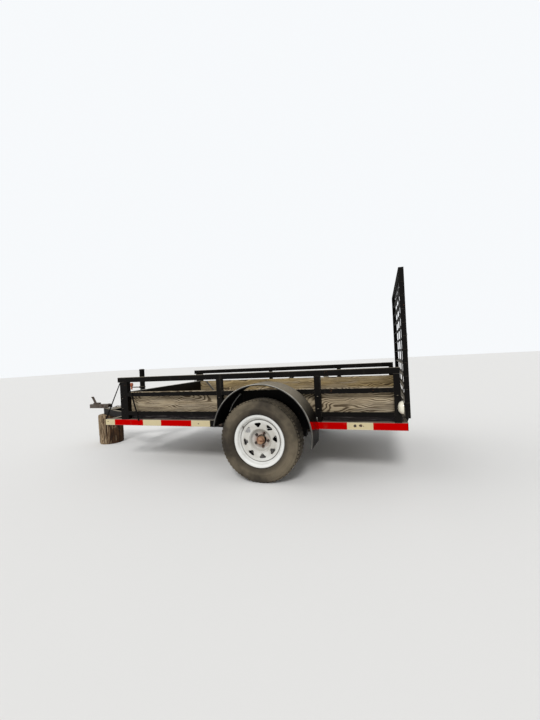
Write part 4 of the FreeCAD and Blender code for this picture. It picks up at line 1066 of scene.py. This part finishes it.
class TRAILER_OT_stump(bpy.types.Operator):
    """The log under the tongue, with furrowed bark."""

    bl_idname = "trailer.stump"
    bl_label = "Log"

    def execute(self, context):
        low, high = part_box("log_stump")
        middle, radius, depth = (low + high) / 2, (high.x - low.x) / 2 - LOG_ROUGH, sizes().bark_depth
        shape, rings = bmesh.new(), []
        for row in range(LOG_ROWS + 1):
            z = low.z + (high.z - low.z) * row / LOG_ROWS
            ease = LOG_ROUGH if row in (0, LOG_ROWS) else 0.0
            ring = []
            for a in angles(LOG_STEPS):
                way = Vector((math.cos(a), math.sin(a), 0))
                broad = noise.noise(way * 1.3 + Vector((0, 0, z * 1.5))) * 0.007
                furrow = abs(noise.noise(Vector((way.x * 9, way.y * 9, z * 4.0))))
                fine = noise.noise(Vector((way.x * 30, way.y * 30, z * 22)))
                reach = radius + broad - depth * (1 - min(furrow * 3.2, 1)) + 0.0012 * fine - ease
                ring.append(shape.verts.new((middle.x + way.x * reach, middle.y + way.y * reach, z)))
            rings.append(ring)
        poles = [[shape.verts.new((middle.x, middle.y, z))] for z in (low.z, high.z)]
        bridge(shape, [poles[0], *rings, poles[1]])
        piece("log_detail", shape, "log_wood", "trailer", node="log_stump", smooth=50)
        return {"FINISHED"}


# Rows across a fender from the rail outwards: share of its width, and drop under its crown
FENDER_ROWS = ((0.0, 0.0015), (0.03, 0.0), (0.94, 0.0), (0.98, 0.0015))
FENDER_FRONT, FENDER_WALL, FENDER_INSET, FENDER_STEPS = math.radians(170), 0.0035, 0.0005, 72
STRIP_UNDER, STRIP_LEAN = 0.3958, 0.052
# The rib's angles in degrees, and how far it lies under the crown and out from the rail
RIB_FRONT, RIB_SWEEP, RIB_RADIUS = 157, 28, 0.0048
RIB_UNDER, RIB_OUT = 0.012, 0.006
GUSSET = ((1.236, 0.4553), (1.276, 0.4553), (1.276, 0.492), (1.268, 0.497))
GUSSET_THICK, GUSSET_BEVEL, END_BOLT_PLACE = 0.0138, 0.0015, (0.372, 0.421)


class TRAILER_OT_fenders(bpy.types.Operator):
    """Rolled sheet fenders with a beaded outer edge."""

    bl_idname = "trailer.fenders"
    bl_label = "Fenders"

    def execute(self, context):
        bead = sizes().rolled_edge
        for name, side in SIDES:
            low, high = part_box("fender_" + name)
            radius = (high.x - low.x) / 2
            centre = Vector(((low.x + high.x) / 2, 0, high.z - radius))
            inner, outer = (high.y, low.y) if side < 0 else (low.y, high.y)
            last = math.asin((low.z - centre.z) / radius)
            sweep = last - FENDER_FRONT
            turns = [FENDER_FRONT + sweep * k / FENDER_STEPS for k in range(FENDER_STEPS + 1)]
            sheet, edge = bmesh.new(), bmesh.new()
            rows = []
            for share, drop in FENDER_ROWS:
                arc = self.arc(centre, radius - FENDER_INSET - drop, inner + (outer - inner) * share, turns)
                rows.append([sheet.verts.new(spot) for spot in arc])
            for one, two in zip(rows, rows[1:]):
                for corners in zip(one, two, two[1:], one[1:]):
                    sheet.faces.new(corners)
            bmesh.ops.recalc_face_normals(sheet, faces=sheet.faces)
            sheet.faces.ensure_lookup_table()
            whole = joined(thickened(sheet, FENDER_WALL, -1 if sheet.faces[0].normal.z > 0 else 1))
            piece("fender_detail_" + name, whole, "black_paint", "trailer", node="fender_" + name)
            # The rolled edge's grey upper side is a painted sunlit highlight, mixed with dust.
            add_tube(edge, self.arc(centre, radius - bead, outer - side * bead, turns), bead)
            piece("fender_rolled_edge_" + name, edge, "rubbed_edge", "trailer")
            self.strip(name, side, centre, radius, inner, outer)
            self.fittings(name, side, centre, radius, inner)
        return {"FINISHED"}

    def arc(self, centre, radius, y, turns):
        """Points on a circle about the fender's centre."""
        return [(centre.x + radius * math.cos(a), y, centre.z + radius * math.sin(a)) for a in turns]

    def strip(self, name, side, centre, radius, inner, outer):
        """Tape across the fender's rear, whose front and back bend alike, so that neither cuts the other."""
        size, shape, steps = sizes(), bmesh.new(), 4
        ends = ((inner + side * 0.002, 0), (outer - side * 0.004, STRIP_LEAN))
        back, front = [], []
        for rows, out in ((back, 0), (front, size.tape_thick)):
            for step in range(steps + 1):
                row = []
                for y, rise in ends:
                    z = STRIP_UNDER + rise + size.tape_height * step / steps
                    x = centre.x + math.sqrt(radius ** 2 - (z - centre.z) ** 2) + out
                    row.append(shape.verts.new((x, y, z)))
                rows.append(row)
        for one, two in zip(back, back[1:]):
            shape.faces.new((one[0], one[1], two[1], two[0]))
        for one, two in zip(front, front[1:]):
            shape.faces.new((one[0], two[0], two[1], one[1]))
        for one, two, three, four in zip(back, back[1:], front[1:], front):
            for end in (0, 1):
                shape.faces.new((one[end], two[end], three[end], four[end]))
        for one, two in ((back[0], front[0]), (back[-1], front[-1])):
            shape.faces.new((one[0], one[1], two[1], two[0]))
        piece("tape_red_fender_" + name, shape, "tape_fender", "trailer")

    def fittings(self, name, side, centre, radius, inner):
        """The stiffener inside the fender's front in light steel as a painted highlight, its front end's bolt,
        and the gusset at a post's foot.
        """
        rib, tab, face = bmesh.new(), bmesh.new(), side * RAIL_FACE
        turns = [math.radians(RIB_FRONT - RIB_SWEEP * k / 12) for k in range(13)]
        add_tube(rib, self.arc(centre, radius - RIB_UNDER, inner + side * RIB_OUT, turns), RIB_RADIUS, 8)
        # Painted highlight: the rib's light grey steel stands for the bright arc inside the fender's front.
        piece("fender_rib_" + name, rib, "chain_steel", "trailer")
        ends = sorted((face, face + side * GUSSET_THICK))
        bridge(tab, [[tab.verts.new((x, y, z)) for x, z in GUSSET] for y in ends], capped=True)
        bmesh.ops.bevel(
            tab, geom=tab.edges[:], offset=GUSSET_BEVEL, segments=2, profile=0.5, affect="EDGES"
        )
        # The gusset's grey top is a painted sunlit highlight, mixed with dust.
        piece("post_foot_gusset_" + name, tab, "rubbed_edge", "trailer")
        x, z = END_BOLT_PLACE
        washer = heads([(x, face, z)], name, *WASHER)
        bolt = heads([(x, face + side * WASHER[1], z)], name, *END_BOLT)
        piece("fender_end_bolt_" + name, joined(washer, bolt), "worn_steel", "trailer")


# Outlines of a lamp's rim and lens: share of its radius and of its depth
LAMP_RIM = ((1, 0.82), (1, 0.90), (0.97, 0.93), (0.92, 0.93), (0.90, 0.88), (0, 0.88))
LENS_EDGE = ((0, 0.86), (0.895, 0.86), (0.89, 0.95))


class TRAILER_OT_lamps(bpy.types.Operator):
    """Round rear lamps: a pale bowl with a rim, and a ribbed lens."""

    bl_idname = "trailer.lamps"
    bl_label = "Rear lamps"

    def execute(self, context):
        low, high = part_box("rear_lamps")
        radius, deep = (high.z - low.z) / 2, high.x - low.x
        bowls, lenses = bmesh.new(), bmesh.new()
        quarter = [math.pi / 2 * k / 14 for k in range(15)]
        bowl = [(0.985 * math.sin(a) ** 0.8, 0.80 * (1 - math.cos(a))) for a in quarter]
        ribs = [(0.85 - 0.06 * k, 0.965 + 0.002 * k + 0.012 * (k % 2)) for k in range(11)]
        bowl, lens = (*bowl, *LAMP_RIM), (*LENS_EDGE, *ribs, (0, 0.995))
        for side in (-1, 1):
            centre = Vector((low.x, (high.y - radius) * side, (low.z + high.z) / 2))
            for shape, outline in ((bowls, bowl), (lenses, lens)):
                rows = [(radius * wide, deep * out) for wide, out in outline]
                add_turned(shape, rows, centre, "X", steps=40)
        piece("lamp_bowls", bowls, "lamp_ivory", "trailer", node="rear_lamps")
        piece("lamp_lenses", lenses, "lamp_lens", "trailer", smooth=60)
        return {"FINISHED"}


# A link's bar, half its straight part, and the radius of its bends
LINK_BAR, LINK_STRAIGHT, LINK_BEND = 0.0034, 0.007, 0.0085
LINK_PITCH, LINK_COUNT, FIRST_LINK = 0.024, 6, 0.019
# A hook's bar, its place past the last link, and its rise
HOOK_BAR, HOOK_PAST, HOOK_RISE = 0.0042, 0.016, 0.010
# A chain's angle to the X axis, and the X and Y that it is laid from
CHAIN_HEADING, CHAIN_START = 0.4992, (-1.6465, 0.0495)


class TRAILER_OT_chains(bpy.types.Operator):
    """Safety chains with rounded links, laid along the tongue."""

    bl_idname = "trailer.chains"
    bl_label = "Safety chains"

    def execute(self, context):
        low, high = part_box("safety_chains")
        for name, side in SIDES:
            way = Vector((math.cos(CHAIN_HEADING), side * math.sin(CHAIN_HEADING), 0))
            start = Vector((CHAIN_START[0], side * CHAIN_START[1], (low.z + high.z) / 2))
            first = start + way * FIRST_LINK
            hook = bmesh.new()
            chain = grown(
                to_mesh(self.link(), 50), chain_links, "chain_steel", count=LINK_COUNT, start=first,
                step=way * LINK_PITCH, heading=side * CHAIN_HEADING,
            )
            node = "safety_chains" if side < 0 else None
            piece("safety_chain_" + name, chain, "chain_steel", "trailer", node)
            last = first + way * (LINK_PITCH * (LINK_COUNT - 1) + HOOK_PAST)
            path = [last + way * 0.004 * k + Vector((0, 0, HOOK_RISE * math.sin(k * 0.55))) for k in range(8)]
            add_tube(hook, path, HOOK_BAR, 8)
            piece("chain_hook_" + name, hook, "chain_steel", "trailer")
        return {"FINISHED"}

    def link(self):
        """A link of round bar, bent to an oval."""
        shape, up, rings = bmesh.new(), Vector((0, 0, 1)), []
        bends = [-math.pi / 2 + math.pi * k / 10 for k in range(11)]
        loop = [
            Vector((end * (LINK_STRAIGHT + LINK_BEND * math.cos(a)), end * LINK_BEND * math.sin(a), 0))
            for end in (1, -1) for a in bends
        ]
        for k, point in enumerate(loop):
            ahead = (loop[(k + 1) % len(loop)] - loop[k - 1]).normalized()
            out = Vector((ahead.y, -ahead.x, 0))
            ways = [out * math.cos(a) + up * math.sin(a) for a in angles(8)]
            rings.append([shape.verts.new(point + way * LINK_BAR) for way in ways])
        bridge(shape, rings, closed=True)
        return shape


# Starts and ends along X of the coupler's clamp and of its lever's ears, and the X of the lever's pin
CLAMP, EARS, LEVER_PIN = (-1.7300, -1.6980), (-1.9400, -1.8450), -1.893
CLAMP_WALL = 0.0035
# Across each ear along Y, and how high the ears and the pin stand on the coupler
EAR_SIDES, EAR_TALL, PIN_UP = ((-0.0190, -0.0125), (0.0125, 0.0190)), 0.020, 0.012
PIN_HALF, PIN_RADIUS = 0.026, 0.005
# The rolled lip along the coupler's foot: X, and how far past the side
LIP = ((-1.985, -0.001), (-1.9, 0.0005), (-1.735, 0.0005))
LIP_UP, LIP_RADIUS = 0.003, 0.0028
# Length, half width and height of the lever's end
HANDLE = (0.026, 0.0145, 0.016)
COUPLER_BOLT_UP, LEG_BOLT_PLACE = 0.478, (-1.62, 0.05, 0.4542)
# Bolts through the coupler's sides: X and Y
COUPLER_BOLTS = ((-1.776, 0.0362), (-1.842, 0.0362), (-1.714, 0.0395))
CRANK_UP = 0.722
# Outlines on the jack's tube: share of its radius, and height
JACK_CAP = (
    (0, 0.0045), (0.55, 0.0040), (0.88, 0.0022), (1.04, -0.002), (1.06, -0.012), (1.03, -0.014),
    (1.0, -0.014),
)
COLLAR = ((1, -0.010), (1.10, -0.008), (1.10, 0.008), (1, 0.010))
LOW_COLLAR_UP = 0.016
# The crank's socket: places along X from the jack's tube, and radius
SOCKET = (((-0.018, -0.004, 0.004), 0.0125), ((-0.024, -0.017), 0.0095))
STEM_RADIUS, STEM_RIBS, STEM_GROOVE = 0.0108, 7, 0.0012


class TRAILER_OT_coupling(bpy.types.Operator):
    """Clamp, bolts, lever pin and rolled lip on the coupler, and the jack's cap and crank collar."""

    bl_idname = "trailer.coupling"
    bl_label = "Coupler and jack fittings"

    def execute(self, context):
        self.coupler(*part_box("coupler_body"))
        self.jack(*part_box("jack_tube"))
        self.grip(*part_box("jack_grip"))
        return {"FINISHED"}

    def coupler(self, low, high):
        """The coupler's clamp and rolled lips, its lever's ears, pin and end, and the bolts."""
        shape, handle = bmesh.new(), bmesh.new()
        foot = (CLAMP[0], low.y - CLAMP_WALL, low.z + 0.004)
        add_block(shape, foot, (CLAMP[1], high.y + CLAMP_WALL, high.z + 0.0045), 0.003, 2)
        for inner, outer in EAR_SIDES:
            add_block(shape, (EARS[0], inner, high.z), (EARS[1], outer, high.z + EAR_TALL), 0.002, 2)
        add_tube(shape, [(LEVER_PIN, y, high.z + PIN_UP) for y in (-PIN_HALF, PIN_HALF)], PIN_RADIUS)
        for side in (-1, 1):
            add_tube(shape, [(x, side * (high.y + out), low.z + LIP_UP) for x, out in LIP], LIP_RADIUS, 8)
        piece("coupler_fittings", shape, "worn_steel", "trailer")
        latch_low, latch_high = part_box("coupler_latch")
        long, half, tall = HANDLE
        foot = (latch_low.x, -half, latch_high.z - tall)
        add_block(handle, foot, (latch_low.x + long, half, latch_high.z), 0.004, 3)
        piece("latch_handle", handle, "worn_steel", "trailer")
        bolts = []
        for way, side in SIDES:
            points = [(x, side * y, COUPLER_BOLT_UP) for x, y in COUPLER_BOLTS]
            bolts.append(heads(points, way, *SIDE_BOLT))
        x, y, z = LEG_BOLT_PLACE
        bolts.append(heads([(x, -y, z), (x, y, z)], "up", *LEG_BOLT))
        piece("coupler_bolts", joined(*bolts), "worn_steel", "trailer")

    def jack(self, low, high):
        """The jack's cap and collars, and the socket that its crank turns in."""
        cap, socket = bmesh.new(), bmesh.new()
        middle, radius = (low + high) / 2, (high.y - low.y) / 2
        for z, outline in ((high.z, JACK_CAP), (CRANK_UP, COLLAR), (low.z + LOW_COLLAR_UP, COLLAR)):
            rows = [(radius * share, up) for share, up in outline]
            add_turned(cap, rows, Vector((middle.x, middle.y, z)), "Z", steps=28)
        piece("jack_cap", cap, "black_paint", "trailer")
        for places, wide in SOCKET:
            add_tube(socket, [(low.x + place, 0, CRANK_UP) for place in places], wide, 14)
        piece("crank_socket", socket, "worn_steel", "trailer")

    def grip(self, low, high):
        """The crank's ribbed stem and round knob."""
        shape, tall, wide = bmesh.new(), high.z - low.z, (high.x - low.x) / 2
        stem = [(0, 0), (0.010, 0), (STEM_RADIUS, 0.002)]
        stem += [(STEM_RADIUS - STEM_GROOVE * (k % 2), 0.006 + 0.005 * k) for k in range(STEM_RIBS)]
        stem += [(wide * 0.72, 0.043), (wide * 0.95, 0.047), (wide, 0.053), (wide, 0.070)]
        stem += [(wide * 0.96, 0.078), (wide * 0.80, tall - 0.002), (wide * 0.45, tall - 0.0005), (0, tall)]
        add_turned(shape, stem, Vector(((low.x + high.x) / 2, (low.y + high.y) / 2, low.z)), "Z", steps=28)
        piece("crank_grip", shape, "grip_orange", "trailer", node="jack_grip")


CROSS_COUNT, CROSS_WIDE = 8, 0.05
# Where the two screws sit across a plank, how far they stray and how deep they sit
SCREW_SHARES, SCREW_STRAY, SCREW_SINK = (0.22, 0.76), 0.008, 0.0012
PLATE_MARGIN_Y, PLATE_MARGIN_Z = 0.016, 0.014
BOARD_BOLTS_UP, BOARD_BOLT_SHARE = (0.560, 0.662), 0.85
WELD_STEP, POST_WELD_SCALES = 0.0042, 12
GATE_FACE, GATE_UNDER, GATE_WELD_X = 0.7600, 0.491, 1.964
GATE_WELD_STEP, GATE_WELD_SCALES = 0.004, 6
GATE_BARS, GATE_PITCH, GATE_BAR_HALF = 10, 0.10309, 0.0125


class TRAILER_OT_fasteners(bpy.types.Operator):
    """Deck screws, board bolts, plate screws and the welds of posts, rails and gate bars."""

    bl_idname = "trailer.fasteners"
    bl_label = "Screws, bolts and welds"

    def execute(self, context):
        low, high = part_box("deck_planks")
        cross_low, cross_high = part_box("cross_members")
        screws, plank = [], (high.y - low.y + PLANK_GAP) / PLANK_COUNT
        spread = (cross_high.x - cross_low.x - CROSS_WIDE) / (CROSS_COUNT - 1)
        for number in range(CROSS_COUNT):
            x = cross_low.x + number * spread + CROSS_WIDE / 2
            if not low.x < x < high.x:
                continue
            for row in range(PLANK_COUNT):
                for share in SCREW_SHARES:
                    stray = noise.noise(Vector((number * 3.7, row * 5.3, share * 9))) * SCREW_STRAY
                    screws.append((x + stray, low.y + plank * (row + share), high.z - SCREW_SINK))
        piece("deck_screws", heads(screws, "up", *DECK_SCREW), "nut_steel", "trailer")
        for way, side in SIDES:
            bolts = [(start + POST_WIDE / 2, side * RAIL_FACE, z) for start in POSTS for z in BOARD_BOLTS_UP]
            mesh = heads(bolts, way, sizes().bolt_head * BOARD_BOLT_SHARE, *BOARD_BOLT)
            piece("board_bolts_" + way, mesh, "black_paint", "trailer")
            self.welds(way, side)
        low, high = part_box("blank_plate")
        points = [
            (high.x - 0.0004, y, z) for y in (low.y + PLATE_MARGIN_Y, high.y - PLATE_MARGIN_Y)
            for z in (low.z + PLATE_MARGIN_Z, high.z - PLATE_MARGIN_Z)
        ]
        piece("plate_screws", heads(points, "rear", *PLATE_SCREW), "worn_steel", "gate")
        return {"FINISHED"}

    def welds(self, way, side):
        """Scaly weld beads on the outer face: at each post's rails, and on the gate's bars."""
        face, scales = side * RAIL_FACE, []
        for left in POSTS:
            for low, high in BAY_RAILS:
                count = int((high - low) / WELD_STEP) + 1
                for x in (left, left + POST_WIDE):
                    if x not in (POSTS[0], POSTS[-1] + POST_WIDE):
                        scales += [(x, face, low + 0.002 + WELD_STEP * k) for k in range(count)]
            for z in (TOP_RAIL_UNDER, SIDE_RAIL_TOP):
                scales += [(left + 0.001 + WELD_STEP * k, face, z) for k in range(POST_WELD_SCALES)]
        piece("rail_welds_" + way, heads(scales, way, *RAIL_WELD), "black_paint", "trailer")
        scales = []
        for k in range(1, GATE_BARS + 1):
            z = GATE_UNDER + k * GATE_PITCH + GATE_BAR_HALF
            places = [GATE_WELD_X + GATE_WELD_STEP * n for n in range(GATE_WELD_SCALES)]
            scales += [(x, side * GATE_FACE, z) for x in places]
        piece("gate_welds_" + way, heads(scales, way, *GATE_WELD), "black_paint", "gate")


FLOOR_HALF, FLOOR_UNDER = 60.0, 0.0005
# The camera's place in metres, and its angles in radians
CAMERA_PLACE = (1.7985, -3.4643, 1.0021)
CAMERA_YAW, CAMERA_PITCH, CAMERA_ROLL = -0.3269, -0.0042, -0.0516
FOCAL_PIXELS, PHOTO_TALL, SENSOR = 327.78, 720, 36
# Lamps: name, strength, and in degrees the softness and the turn
LAMPS = (("key", 1.55, 16, (48, -12, 18)), ("fill", 0.45, 60, (62, 0, -75)))


class TRAILER_OT_stage(bpy.types.Operator):
    """Plain pale floor, soft light and the photograph's camera."""

    bl_idname = "trailer.stage"
    bl_label = "Stage"

    def execute(self, context):
        self.camera(context)
        self.floor()
        self.sky(context)
        for name, energy, angle, turn in LAMPS:
            lamp = bpy.data.lights.new(name, "SUN")
            lamp.energy, lamp.angle = energy, math.radians(angle)
            linked(name, lamp).rotation_euler = [math.radians(part) for part in turn]
        context.scene.view_settings.view_transform = "Standard"
        return {"FINISHED"}

    def floor(self):
        """A wide floor just under the wheels."""
        shape = bmesh.new()
        bmesh.ops.create_grid(shape, x_segments=1, y_segments=1, size=FLOOR_HALF)
        mesh = bpy.data.meshes.new("floor")
        shape.to_mesh(mesh)
        shape.free()
        item = linked("floor", mesh)
        item.location.z = -FLOOR_UNDER
        s, tone = Shader("floor"), tuple(colours().floor)
        base = s.mix(s.noise(s.place(), 1.2, 3) * 0.15, tone, tuple(part * 0.93 for part in tone))
        mesh.materials.append(s.surface(base, 0.9))

    def sky(self, context):
        """Soft light from all round, which the camera sees as a pale wall."""
        world = bpy.data.worlds.new("studio")
        world.use_nodes = True
        context.scene.world = world
        sky = Shader("studio", world.node_tree)
        rays = ("Is Camera Ray", "Is Glossy Ray")
        camera, glossy = (sky.node("ShaderNodeLightPath", output=ray) for ray in rays)
        lit = sky.node("ShaderNodeBackground", values={"Color": (0.97, 0.985, 1.0), "Strength": 0.62})
        shown = sky.node("ShaderNodeBackground", values={"Color": (0.93, 0.95, 0.97), "Strength": 1.0})
        both = sky.node("ShaderNodeMixShader", values=(camera.maths("MAXIMUM", glossy * 0.6), lit, shown))
        sky.node("ShaderNodeOutputWorld", values={"Surface": both})

    def camera(self, context):
        """The camera found from the photograph."""
        yaw, pitch, roll = CAMERA_YAW, CAMERA_PITCH, CAMERA_ROLL
        level = Vector((math.sin(yaw), math.cos(yaw), 0))
        across = Vector((math.cos(yaw), -math.sin(yaw), 0))
        ahead = level * math.cos(pitch) + Vector((0, 0, math.sin(pitch)))
        above = across.cross(ahead)
        right = across * math.cos(roll) + above * math.sin(roll)
        up = above * math.cos(roll) - across * math.sin(roll)
        lens = bpy.data.cameras.new("camera")
        lens.sensor_fit, lens.sensor_width = "AUTO", SENSOR
        lens.lens = FOCAL_PIXELS / PHOTO_TALL * SENSOR
        lens.clip_start, lens.clip_end = 0.05, 200
        item = linked("camera", lens)
        turn = Matrix((right, up, -ahead)).transposed().to_4x4()
        item.matrix_world = Matrix.Translation(CAMERA_PLACE) @ turn
        context.scene.camera = item


OPERATORS = (
    TRAILER_OT_stage,
    TRAILER_OT_steel,
    TRAILER_OT_tapes,
    TRAILER_OT_tyres,
    TRAILER_OT_rims,
    TRAILER_OT_hubs,
    TRAILER_OT_boards,
    TRAILER_OT_stump,
    TRAILER_OT_fenders,
    TRAILER_OT_lamps,
    TRAILER_OT_chains,
    TRAILER_OT_coupling,
    TRAILER_OT_fasteners,
)


class TRAILER_PT_panel(bpy.types.Panel):
    """Lists the trailer's pieces, sizes and colours."""

    bl_idname = "TRAILER_PT_panel"
    bl_label = "Utility trailer"
    bl_space_type = "VIEW_3D"
    bl_region_type = "UI"
    bl_category = "Trailer"

    def draw(self, context):
        for operator in OPERATORS:
            self.layout.operator(operator.bl_idname)
        for group in (sizes(), colours()):
            for name in group.__annotations__:
                self.layout.prop(group, name)


CLASSES = (TrailerSizes, TrailerColours, *OPERATORS, TRAILER_PT_panel)


def register():
    """Registers the classes and the scene's settings."""
    for item in CLASSES:
        bpy.utils.register_class(item)
    bpy.types.Scene.trailer_sizes = bpy.props.PointerProperty(type=TrailerSizes)
    bpy.types.Scene.trailer_colours = bpy.props.PointerProperty(type=TrailerColours)


def unregister():
    """Removes them again."""
    del bpy.types.Scene.trailer_colours
    del bpy.types.Scene.trailer_sizes
    for item in reversed(CLASSES):
        bpy.utils.unregister_class(item)


def main():
    """Builds every piece in order."""
    register()
    for operator in OPERATORS:
        group, name = operator.bl_idname.split(".")
        getattr(getattr(bpy.ops, group), name)()


if __name__ == "__main__":
    main()
